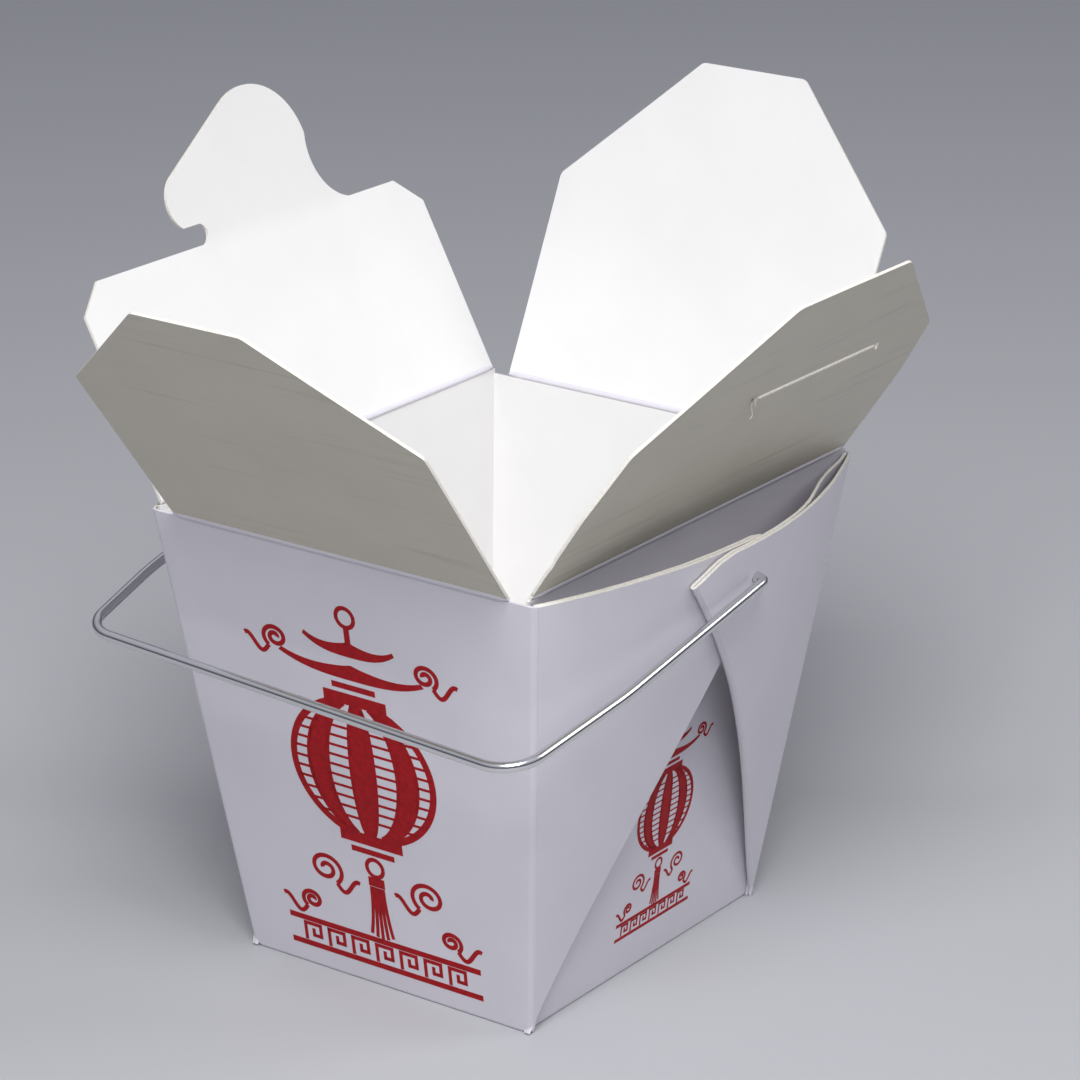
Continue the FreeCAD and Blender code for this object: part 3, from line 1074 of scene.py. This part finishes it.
    def build(self, finishes: Palette) -> None:
        """Make the board and the webs, and let them ride the carton.

        Args:
            finishes: The carton's materials.
        """
        seat(self.build_board(finishes), "carton", "paperboard", "carton_body")
        form = self.form
        for end, turned in (("right", False), ("left", True)):
            lower = Web(
                f"{end}_lower_web", form, form.lower_reach, 0.0, 0.0, False, turned, parting=0.1
            )
            upper = Web(
                f"{end}_upper_web", form, form.upper_reach, form.upper_bow, self.upper_extra,
                True, turned, parting=1.5, parting_at=-33.0,
            )
            for web in (lower, upper):
                seat(web.build(finishes), "carton", "paperboard")


@dataclass
class Flap:
    """A lid flap: a sheet on a scored crease, leaning outwards at rest."""

    name: str
    hinge: str
    along: Vector
    outward: Vector
    lean: float
    outline: list[Point]
    crease: float
    grain: Grain
    slots: list[list[Point]] = field(default_factory=list)
    bow: float = 0.0
    curl: float = 0.0
    bead: float = 0.58
    board: float = 0.5
    bend_at: float = 1000.0
    bend: float = 0.0
    score_at: float = 0.0
    score_depth: float = 0.3
    score_width: float = 0.55
    score_wander: float = 1.6
    wave: float = 0.06
    bow_half: float = 46.0
    curl_reach: float = 60.0
    torn_end: Point | None = None
    # reach, rise and turn of each strip of torn fibre at the slit
    strips: tuple[Point3, ...] = ((2.8, 2.1, -0.5), (2.2, 1.6, 0.35), (1.5, 1.8, 1.2))

    def axes(self) -> tuple[Vector, Vector]:
        """The flap's own directions at rest: up along it, and square out of it.

        Returns:
            Both directions.
        """
        lean, up = math.radians(self.lean), Vector((0, 0, 1))
        rise, run = math.cos(lean), math.sin(lean)
        return up * rise + self.outward * run, self.outward * rise - up * run

    def place(self, u: float, r: float) -> Vector:
        """The middle of the board at a place along the crease and above it.

        Args:
            u: Place along the crease.
            r: Distance from it.

        Returns:
            The point.
        """
        up, out = self.axes()
        bent = math.radians(self.bend)
        spot = hinge_place(self.hinge) + self.along * u + up * min(r, self.bend_at)
        spot += (up * math.cos(bent) - out * math.sin(bent)) * max(r - self.bend_at, 0.0)
        wave = self.wave * noise.noise(Vector((u * 0.03, r * 0.03, self.lean)))
        lift = (self.bow * (u / self.bow_half) ** 2 + wave) * smooth(1, 25, r)
        lift -= self.curl * (r / self.curl_reach) ** 2
        if self.score_at:
            line = self.score_at + self.score_wander * noise.noise(Vector((u * 0.05, 0.0, 1.0)))
            lift += self.score_depth * math.exp(-(((r - line) / self.score_width) ** 2))
        return spot + out * lift

    def build(self, finishes: Palette) -> bpy.types.Object:
        """Make the sheet and the embossed bead along its crease.

        Args:
            finishes: The carton's materials.

        Returns:
            The new piece.
        """
        parts = MeshParts()
        loop = Tray.divided(self.outline, 1.6)
        parts.sheet(loop, self.slots, 1.8, self.place, self.board)
        self.roll(parts)
        if self.torn_end:
            self.flake(parts)
        # the flaps' outside material carries painted shade in its darker tone, besides its real
        # streaks
        outside = finishes.flap[self.grain]
        materials = [outside, finishes.inside, finishes.edge, finishes.outside]
        return parts.build(self.name, materials, sharp=50)

    def flake(self, parts: MeshParts) -> None:
        """Add the torn fibres that stand up at one end of the slit.

        Args:
            parts: The mesh that it is added to.
        """
        u, r = self.torn_end
        for reach, rise, turn in self.strips:
            tip = (u - reach * math.cos(turn), r + reach * math.sin(turn))
            loop = [(u + 0.7, r - 0.55), (u + 0.9, r + 0.5), tip]

            def lifted(x: float, y: float, rise: float = rise) -> Vector:
                """The flap's surface, lifted towards the flake's tip."""
                away = math.hypot(x - u, y - r)
                return self.place(x, y) + self.axes()[1] * (0.16 + rise * smooth(0.2, 2.4, away))

            first = len(parts.slots)
            parts.sheet(Tray.divided(loop, 0.5), [], 0.5, lifted, 0.12)
            parts.slots[first:] = [2] * (len(parts.slots) - first)

    def roll(self, parts: MeshParts) -> None:
        """Add the bead, a closed round bar on the crease, thinner at its ends.

        Args:
            parts: The mesh that it is added to.
        """
        (up, out), steps, rings = self.axes(), 40, []
        for n in range(steps + 1):
            u = self.crease * (n / steps - 0.5)
            radius = self.bead * min(1.0, 0.55 + (self.crease / 2 - abs(u)) * 0.5)
            middle = hinge_place(self.hinge) + self.along * u
            rings.append(round_section(middle, up * radius, out * radius, 14))
        parts.tube(rings, 3, 2)


def both_sides(half: list[Point]) -> list[Point]:
    """The whole outline from its right half, given from the crease to the tip."""
    return half + [(-u, r) for u, r in half][::-1]


def tab_outline() -> list[Point]:
    """The tab flap with its hooked tab, seen from outside the left end.

    Returns:
        The outline, anticlockwise.
    """
    reach = 38.0
    shape: list[Point] = [(-46.5, 0.0), (46.5, 0.0), (46.3, 32.9), (40.5, reach)]
    flare, head, crown = (27.5, reach), (20.1, reach + 13.1), (0.7, reach + 22.5)
    hook_top, hook_foot = (-16.7, reach + 12.6), (-16.7, reach + 3.7)
    notch_top, notch_foot = (-12.4, reach + 3.7), (-12.4, reach)
    shape += arc(flare, head, 10.8, 1, 14)
    shape += arc(head, crown, 13.0, -1, 18)
    shape.append(crown)
    shape += arc(hook_top, hook_foot, 5.4, -1, 14)
    shape.append(hook_foot)
    shape += arc(notch_top, notch_foot, 1.95, 1, 8)
    shape += [notch_foot, (-40.5, reach), (-46.3, 32.9)]
    return [(-u, r) for u, r in shape][::-1]


def slit(start: float, end: float, line: float, width: float) -> list[Point]:
    """The slit that takes the tab: a long thin hole with a small hook at one end.

    Args:
        start: Its one end along the crease.
        end: Its other end.
        line: Its distance from the crease.
        width: Its width.

    Returns:
        The hole's edge.
    """
    half = width / 2
    made = [(start + 0.3 * n, line - half - 0.05 * (n % 2)) for n in range(4)]
    made += [(u, line - half) for u in range(math.ceil(start + 2), math.floor(end), 3)]
    made += [(end, line - half), (end + 0.9, line - 1.5), (end + 1.4, line - 1.3)]
    made += [(end + 0.7, line), (end + 0.3, line + half)]
    made += [(u, line + half) for u in range(math.floor(end) - 1, math.ceil(start), -3)]
    made += arc((start, line + half), (start, line - half), half * 1.01, -1, 5)
    return made


@dataclass
class Lid:
    """The four lid flaps."""

    x_out: Vector = field(default_factory=lambda: Vector((1, 0, 0)))
    y_out: Vector = field(default_factory=lambda: Vector((0, 1, 0)))

    def flaps(self) -> list[Flap]:
        """The flaps with their sizes, in order round the rim.

        Returns:
            The four flaps.
        """
        plain = [(34.0, 0.0), (34.5, 36.8), (10.75, 59.6)]
        plain_loop = rounded(both_sides(plain), 0.7)
        back_loop = rounded(both_sides([(34.0, 0.0), (34.5, 38.0), (10.75, 62.3)]), 0.7)
        slot_half = [(46.5, 0.0), (46.9, 18.0), (44.5, 31.2), (16.7, 53.7)]
        slot_loop = rounded(both_sides(slot_half), 1.2)
        return [
            Flap("front_lid_flap", "front_flap_crease", self.x_out, -self.y_out, 37.5,
                 plain_loop, 68.0, Grain.X, bow=-0.2),
            Flap("back_lid_flap", "back_flap_crease", -self.x_out, self.y_out, 27.0,
                 back_loop, 68.0, Grain.X, bow=-0.2, curl=1.25),
            Flap("slot_lid_flap", "slot_flap_crease", self.y_out, self.x_out, 33.0,
                 slot_loop, 93.0, Grain.Y, [slit(-10.4, 27.0, 31.5, 0.9)], bow=0.2,
                 score_at=7.0, torn_end=(-10.6, 31.5)),
            Flap("tab_lid_flap", "tab_flap_crease", -self.y_out, -self.x_out, 28.5,
                 tab_outline(), 93.0, Grain.Y, bow=0.0, bend_at=38.0, bend=10.0),
        ]

    def build(self, finishes: Palette) -> None:
        """Make each flap and let it ride its own body.

        Args:
            finishes: The carton's materials.
        """
        for flap in self.flaps():
            node = flap.hinge.removesuffix("_crease")
            seat(flap.build(finishes), node, "paperboard", node)


@dataclass
class WireBail:
    """The bent wire handle, hooked through the webs at both ends."""

    wire: float = 1.8
    arm_out: float = 49.9
    arm_mid: float = 49.0
    arm_mid_reach: float = 40.0
    bar_half: float = 46.0
    right_reach: float = 66.6
    left_reach: float = 60.6
    bar_bend: float = 6.5
    arm_bend: float = 60.0
    hook_inset: float = 41.0
    hook_length: float = 5.5
    hook_bend: float = 1.6
    drop: float = 11.6
    around: int = 20

    def corners(self) -> list[tuple[float, float, float]]:
        """The sharp corners of the route with their bend radii.

        Returns:
            Place across, place outwards and radius of each.
        """
        return [
            (self.hook_inset, self.hook_length, 0.0),
            (self.hook_inset, 0.0, self.hook_bend),
            (self.arm_out, 0.0, self.hook_bend),
            (self.arm_mid, -self.arm_mid_reach, self.arm_bend),
            (self.bar_half, -self.right_reach, self.bar_bend),
            (-self.bar_half, -self.left_reach, self.bar_bend),
            (-self.arm_mid, -self.arm_mid_reach, self.arm_bend),
            (-self.arm_out, 0.0, self.hook_bend),
            (-self.hook_inset, 0.0, self.hook_bend),
            (-self.hook_inset, self.hook_length, 0.0),
        ]

    def route(self) -> list[Vector]:
        """Points along the wire's middle, close together in its bends.

        Returns:
            The points, from hook to hook.
        """
        corners = self.corners()
        spots = [Vector(c[:2]) for c in corners]
        made = [spots[0]]
        for n in range(1, len(spots) - 1):
            back = (spots[n - 1] - spots[n]).normalized()
            ahead = (spots[n + 1] - spots[n]).normalized()
            half = back.angle(ahead) / 2
            radius = corners[n][2]
            reach = radius / math.tan(half)
            first, last = spots[n] + back * reach, spots[n] + ahead * reach
            centre = spots[n] + (back + ahead).normalized() * radius / math.sin(half)
            steps = 14
            for k in range(steps + 1):
                share = k / steps
                turned = (first - centre).lerp(last - centre, share).normalized()
                made.append(centre + turned * radius)
        made.append(spots[-1])
        filled = [made[0]]
        for a, b in zip(made, made[1:]):
            steps = max(1, round((b - a).length / 3.0))
            filled += [a.lerp(b, k / steps) for k in range(1, steps + 1)]
        pivot = hinge_place("bail_swing")
        fall = math.radians(self.drop)
        rise, run = math.sin(fall), math.cos(fall)
        return [pivot + Vector((p.x, p.y * run, p.y * rise)) for p in filled]

    def build(self, finishes: Palette) -> None:
        """Sweep the round section along the route and cap both cut ends.

        Args:
            finishes: The carton's materials.
        """
        route, parts, radius = self.route(), MeshParts(), self.wire / 2
        fall = math.radians(self.drop)
        level = Vector((0, -math.sin(fall), math.cos(fall)))
        rings = []
        for n, spot in enumerate(route):
            side = heading(route, n).cross(level).normalized()
            rings.append(round_section(spot, side * radius, level * radius, self.around))
        parts.tube(rings, 0, 0)
        piece = parts.build("bent_wire_bail", [finishes.wire], sharp=60)
        seat(piece, "bail", "steel_wire", "wire_bail")


@dataclass
class LanternPrint:
    """The red print of one wall: a hanging lantern over a fret, drawn in strokes."""

    name: str
    stroke: float = 0.95
    ink: float = 0.03
    sink: float = 0.05
    centre: float = 0.0
    foot: float = 0.0
    scale: float = 1.0
    bend_step: float = 1.6
    shapes: list[list[Point]] = field(default_factory=list)

    def line(self, path: Sequence[Point], width: float | None = None) -> None:
        """Draw a stroke of even width along a path, as small four-sided patches.

        Args:
            path: Its points.
            width: Its width, if not the usual stroke.
        """
        half = (width or self.stroke) / 2
        spots = [Vector(p) for p in path]
        sides = []
        for n, spot in enumerate(spots):
            along = heading(spots, n)
            across = Vector((-along.y, along.x)) * half
            sides.append((spot + across, spot - across))
        for (a, b), (c, d) in zip(sides, sides[1:]):
            self.patch([b, d, c, a])

    def patch(self, loop: Sequence[Point]) -> None:
        """Fill a four-sided patch, given anticlockwise, in parts that can bend.

        Args:
            loop: Its four corners.
        """
        a, b, c, d = (Vector(p) for p in loop)
        if (b - a).length > self.bend_step or (c - d).length > self.bend_step:
            self.patch([a, (a + b) / 2, (c + d) / 2, d])
            self.patch([(a + b) / 2, b, c, (c + d) / 2])
        elif (d - a).length > self.bend_step or (c - b).length > self.bend_step:
            self.patch([a, b, (b + c) / 2, (d + a) / 2])
            self.patch([(d + a) / 2, (b + c) / 2, c, d])
        else:
            self.shapes.append([tuple(p) for p in (a, b, c, d)])

    def curve(self, spot: Callable[[float], Point], steps: int) -> list[Point]:
        """Points of a curve whose parameter runs from 0 to 1."""
        return [spot(n / steps) for n in range(steps + 1)]

    def lantern(self, foot: float, half_width: float, half_height: float) -> None:
        """The ribbed lantern with its cap, cord and tassel.

        Args:
            foot: Height of the bottom of its globe.
            half_width: Half the width of the globe.
            half_height: Half its height.
        """
        middle = foot + half_height

        def rib(share: float, t: float) -> Point:
            """A point of a rib.

            Args:
                share: The rib's place, from -1 to 1.
                t: How far up it, from 0 to 1.

            Returns:
                The point.
            """
            rise = (2 * t - 1) * 0.94
            round_part = math.sqrt(1 - rise * rise)
            return half_width * share * round_part, middle + half_height * rise

        steps = 26
        for share in (-1.0, -0.78, -0.5, -0.17, 0.17, 0.5, 0.78, 1.0):
            width = self.stroke * (1.4 if abs(share) == 1 else 0.8)
            self.line([rib(share, n / steps) for n in range(steps + 1)], width)
        for low, high in ((-0.78, -0.5), (-0.17, 0.17), (0.5, 0.78)):
            for n in range(steps):
                a, b = rib(low, n / steps), rib(high, n / steps)
                c, d = rib(high, (n + 1) / steps), rib(low, (n + 1) / steps)
                self.patch([a, b, c, d])
        for low, high in ((-0.5, -0.17), (0.17, 0.5), (-1.0, -0.78), (0.78, 1.0)):
            for n in range(3, steps - 2, 2):
                self.line([rib(low, n / steps), rib(high, n / steps)], 0.5)
        for end in (-1, 1):
            level = middle + end * (half_height + 0.2)
            self.bar(0.0, level, 13.0, 2.2)
            self.bar(0.0, level + end * 2.4, 9.0, 1.1)
        top = middle + half_height
        self.eaves(top + 4.0, 15.0)
        self.eaves(top + 8.4, 9.5)
        self.line([(0, top + 9.5), (0, top + 14.0)], 1.2)
        self.ring(0.0, top + 15.8, 1.8)
        self.tassel(foot - 4.0)

    def bar(self, u: float, v: float, width: float, height: float) -> None:
        """A solid bar about its own middle."""
        half, tall = width / 2, height / 2
        self.patch([(u + a * half, v + b * tall) for a, b in ((-1, -1), (1, -1), (1, 1), (-1, 1))])

    def eaves(self, v: float, half: float) -> None:
        """A cap with upturned ends, filled between two curves.

        Args:
            v: Height of its middle.
            half: Half its width.
        """
        steps = 18

        def low(t: float) -> Point:
            """The lower curve."""
            side = 2 * t - 1
            return (half * side, v + 2.4 * abs(side) ** 3)

        def high(t: float) -> Point:
            """The upper curve."""
            side = 2 * t - 1
            return (half * side * 0.96, v + 2.9 - 2.2 * abs(side) ** 0.8 + 2.4 * abs(side) ** 3)

        under, over = self.curve(low, steps), self.curve(high, steps)
        for n in range(steps):
            self.patch([under[n], under[n + 1], over[n + 1], over[n]])

    def ring(self, u: float, v: float, radius: float) -> None:
        """A drawn ring."""
        spots = circle(u, v, radius, 24)
        self.line([*spots, spots[0]], 0.8)

    def tassel(self, top: float) -> None:
        """A knot with strands that flare towards the foot.

        Args:
            top: Height of its top.
        """
        self.ring(0.0, top - 1.6, 1.7)
        self.bar(0.0, top - 4.4, 3.4, 1.8)
        for share in (-2, -1, 0, 1, 2):

            def strand(t: float, share: int = share) -> Point:
                """One strand."""
                return share * (0.62 + 0.5 * t * t), top - 5.4 - (10.6 - 0.5 * abs(share)) * t

            self.line(self.curve(strand, 10), 0.7)

    def scroll(self, u: float, v: float, size: float, side: int) -> None:
        """A cloud drawn as one curling line with a tail.

        Args:
            u: Middle of the curl.
            v: Height of the middle.
            size: Reach of the curl.
            side: Way that it turns, 1 or -1.
        """

        def curl(t: float) -> Point:
            """The spiral.

            Args:
                t: How far along, from 0 to 1.

            Returns:
                The point.
            """
            angle = 3.3 * math.pi * t
            reach = size * (0.18 + 0.82 * t)
            return (u + side * reach * math.cos(angle), v + reach * math.sin(angle) * 0.86)

        end = curl(1.0)

        def tail(t: float) -> Point:
            """The wave that it ends in."""
            return end[0] - side * 5.0 * t, end[1] - 1.4 * math.sin(t * 5.2)

        self.line(self.curve(curl, 44), 0.85)
        self.line(self.curve(tail, 16), 0.85)

    def fret(self, v: float, half: float, cell: float) -> None:
        """A band of square turns between two lines.

        Args:
            v: Height of its foot.
            half: Half its length.
            cell: Size of one turn.
        """
        self.line([(-half, v), (half, v)], 1.1)
        self.line([(-half, v + cell), (half, v + cell)], 1.1)
        count = int(2 * half / cell)
        start = -count * cell / 2
        unit = cell / 6
        for n in range(count):
            u = start + n * cell
            corners = [(1, 1.2), (1, 4.8), (4.8, 4.8), (4.8, 2.2), (3, 2.2), (3, 3.4)]
            spots = [(u + a * unit, v + b * unit) for a, b in corners]
            for a, b in zip(spots, spots[1:]):
                along = (Vector(b) - Vector(a)).normalized() * 0.35
                self.line([tuple(Vector(a) - along), tuple(Vector(b) + along)], 0.7)

    def draw(self) -> None:
        """Put the whole design together."""
        self.lantern(29.5, 14.4, 13.2)
        for side in (-1, 1):
            self.scroll(side * 10.8, 21.0, 3.6, side)
            self.scroll(side * 15.4, 64.5, 2.6, -side)
            self.scroll(side * 14.6, 13.6, 2.2, -side)
        self.fret(4.2, 20.2, 5.1)

    def build(
        self,
        finishes: Palette,
        wall: Surface,
        clear: Callable[[Point], bool] = lambda spot: True,
    ) -> bpy.types.Object:
        """Lay the design on a wall as a film with a little thickness.

        Args:
            finishes: The materials.
            wall: Gives a place on the wall's outside.
            clear: Whether a spot of the wall shows; the rest isn't laid.

        Returns:
            The new piece.
        """
        self.draw()
        parts, step = MeshParts(), PROBE
        for loop in self.shapes:
            spots = [(self.centre + u * self.scale, self.foot + v * self.scale) for u, v in loop]
            if not all(clear(spot) for spot in spots):
                continue
            tops, feet = [], []
            for u, v in spots:
                here = wall(u, v)
                out = (wall(u + step, v) - here).cross(wall(u, v + step) - here).normalized()
                tops.append(here + out * self.ink)
                feet.append(here - out * self.sink)
            first, count = len(parts.points), len(spots)
            parts.points += tops + feet
            top = range(first, first + count)
            parts.faces += [tuple(top), tuple(k + count for k in top)[::-1]]
            parts.faces += [
                (a, a + count, b + count, b) for a, b in zip(top, [*top[1:], top[0]])
            ]
            parts.slots += [0] * (count + 2)
        return parts.build(self.name, [finishes.ink], sharp=30)


@dataclass
class Prints:
    """The red design on both narrow walls and on both end panels."""

    form: Form
    rim_gap: float = 0.3
    spare: float = 8.0
    end_scale: float = 0.56

    def narrow_wall(self, u: float, v: float) -> Vector:
        """A place on the front wall's outside, v along its slope.

        Args:
            u: Place across the wall.
            v: Place up the slope.

        Returns:
            The point.
        """
        form = self.form
        run = (form.rim_depth - form.base_depth) / 2
        z = v * form.height / math.hypot(form.height, run)
        soft = form.wall_soft(u, z, form.height - form.crease_drop - self.rim_gap)
        return Vector((u, -form.half_y(z) + soft, z))

    def end_wall(self, u: float, v: float) -> Vector:
        """A place on the right end panel's outside, v along its slope.

        Args:
            u: Place along the end panel.
            v: Place up the slope.

        Returns:
            The point.
        """
        form = self.form
        run = (form.rim_width - form.base_width) / 2
        z = v * form.height / math.hypot(form.height, run)
        return Vector((form.half_x(z), u, z))

    def shows(self, spot: Point) -> bool:
        """Whether the wide, open part of the end panel holds the spot.

        Args:
            spot: Place along the end panel and up its slope.

        Returns:
            Whether it does.
        """
        y, z = spot
        form = self.form
        foot, rise = form.base_depth / 2, z / form.fold_top
        lower = form.lower_reach * rise - foot
        upper = foot - form.upper_reach * rise
        return lower - self.spare < y < upper + self.spare

    def build(self, finishes: Palette) -> None:
        """Lay all four prints.

        Args:
            finishes: The carton's materials.
        """
        for turned, wall, end in ((False, "front", "right"), (True, "back", "left")):
            narrow = LanternPrint(f"{wall}_wall_print")
            place = half_turned(self.narrow_wall, turned)
            seat(narrow.build(finishes, place), "carton", "paperboard")
            side = LanternPrint(f"{end}_end_print", centre=2.0, foot=5.0, scale=self.end_scale)
            place = half_turned(self.end_wall, turned)
            seat(side.build(finishes, place, self.shows), "carton", "paperboard")


@dataclass
class Studio:
    """Pale floor, soft lamps and the camera of the photograph."""

    azimuth: float = 35.26
    elevation: float = 19.90
    roll: float = 0.46
    distance: float = 708.0
    shift_x: float = -5.5
    shift_y: float = -27.7
    aim_height: float = 41.5
    focal_px: float = 4103.0
    frame_px: float = 1080.0
    floor_colour: str = "#b5b6ba"

    def floor(self) -> None:
        """Lay a wide pale floor under the carton."""
        parts = MeshParts()
        reach = 6000.0
        parts.points = [
            Vector((x, y, 0.0))
            for x, y in ((-reach, -reach), (reach, -reach), (reach, reach), (-reach, reach))
        ]
        parts.faces = [(0, 1, 2, 3)]
        parts.slots = [0]
        ground = Finish("matt_studio_floor", self.floor_colour, 0.8).material()
        parts.build("studio_floor", [ground])

    def lamp(self, name: str, place: Point3, size: float, watts: float, tint: str) -> None:
        """Hang one square softbox that looks at the carton.

        Args:
            name: The lamp's name.
            place: Where it hangs, in millimetres.
            size: Its side, in millimetres.
            watts: Its power.
            tint: Its colour.
        """
        light = bpy.data.lights.new(name, "AREA")
        light.size = size * MM
        light.energy = watts
        light.color = linear(tint)[:3]
        holder = bpy.data.objects.new(name, light)
        spot = Vector(place)
        holder.location = spot * MM
        aim = Vector((0, 0, 60)) - spot
        holder.rotation_euler = aim.to_track_quat("-Z", "Y").to_euler()
        bpy.context.collection.objects.link(holder)

    def camera(self) -> None:
        """Put the camera where the photograph was taken from."""
        az, el, roll = (math.radians(a) for a in (self.azimuth, self.elevation, self.roll))
        back = Vector(
            (math.sin(az) * math.cos(el), -math.cos(az) * math.cos(el), math.sin(el))
        )
        level = Vector((math.cos(az), math.sin(az), 0))
        upright = back.cross(level)
        right = level * math.cos(roll) + upright * math.sin(roll)
        top = upright * math.cos(roll) - level * math.sin(roll)
        eye = Vector((0, 0, self.aim_height))
        eye += right * -self.shift_x + top * -self.shift_y + back * self.distance
        data = bpy.data.cameras.new("photo_camera")
        data.sensor_width = 36.0
        data.lens = self.focal_px * data.sensor_width / self.frame_px
        data.clip_start = 0.01
        holder = bpy.data.objects.new("photo_camera", data)
        place = Matrix((right, top, back)).transposed().to_4x4()
        place.translation = eye * MM
        holder.matrix_world = place
        bpy.context.collection.objects.link(holder)
        bpy.context.scene.camera = holder

    def sky(self) -> None:
        """Light the room evenly, and let the lens see a pale backdrop."""
        world = bpy.data.worlds.new("studio_room")
        bpy.context.scene.world = world
        world.use_nodes = True
        tree = world.node_tree
        facing = add_node(tree, "ShaderNodeTexCoord").outputs["Generated"]
        height = add_node(tree, "ShaderNodeSeparateXYZ", {0: facing}).outputs["Z"]
        # darker towards the horizon, so that the wire shows a light and a dark side
        stops = [(0.0, "#4a4b54"), (0.22, "#70727d"), (0.62, "#dfe1ee")]
        tone = ramp(tree, height, stops)
        tree.links.new(tone, tree.nodes["Background"].inputs["Color"])
        seen = add_node(tree, "ShaderNodeLightPath").outputs["Is Glossy Ray"]
        tree.links.new(span(tree, seen, 0.36, 0.62), tree.nodes["Background"].inputs["Strength"])

    def build(self) -> None:
        """Set up floor, light and camera."""
        self.floor()
        self.sky()
        self.lamp("high_softbox", (310, -505, 840), 480, 9.6, "#ffffff")
        self.lamp("side_softbox", (680, 420, 800), 400, 2.1, "#ffffff")
        self.camera()
        bpy.context.scene.view_settings.view_transform = "Standard"


def main() -> None:
    """Build the carton piece by piece, then the studio."""
    logging.basicConfig(level=logging.INFO, format="%(name)s %(message)s")
    form, finishes = Form(), Palette()
    Tray(form).build(finishes)
    Lid().build(finishes)
    WireBail().build(finishes)
    Prints(form).build(finishes)
    Studio().build()
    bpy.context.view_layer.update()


if __name__ == "__main__":
    main()
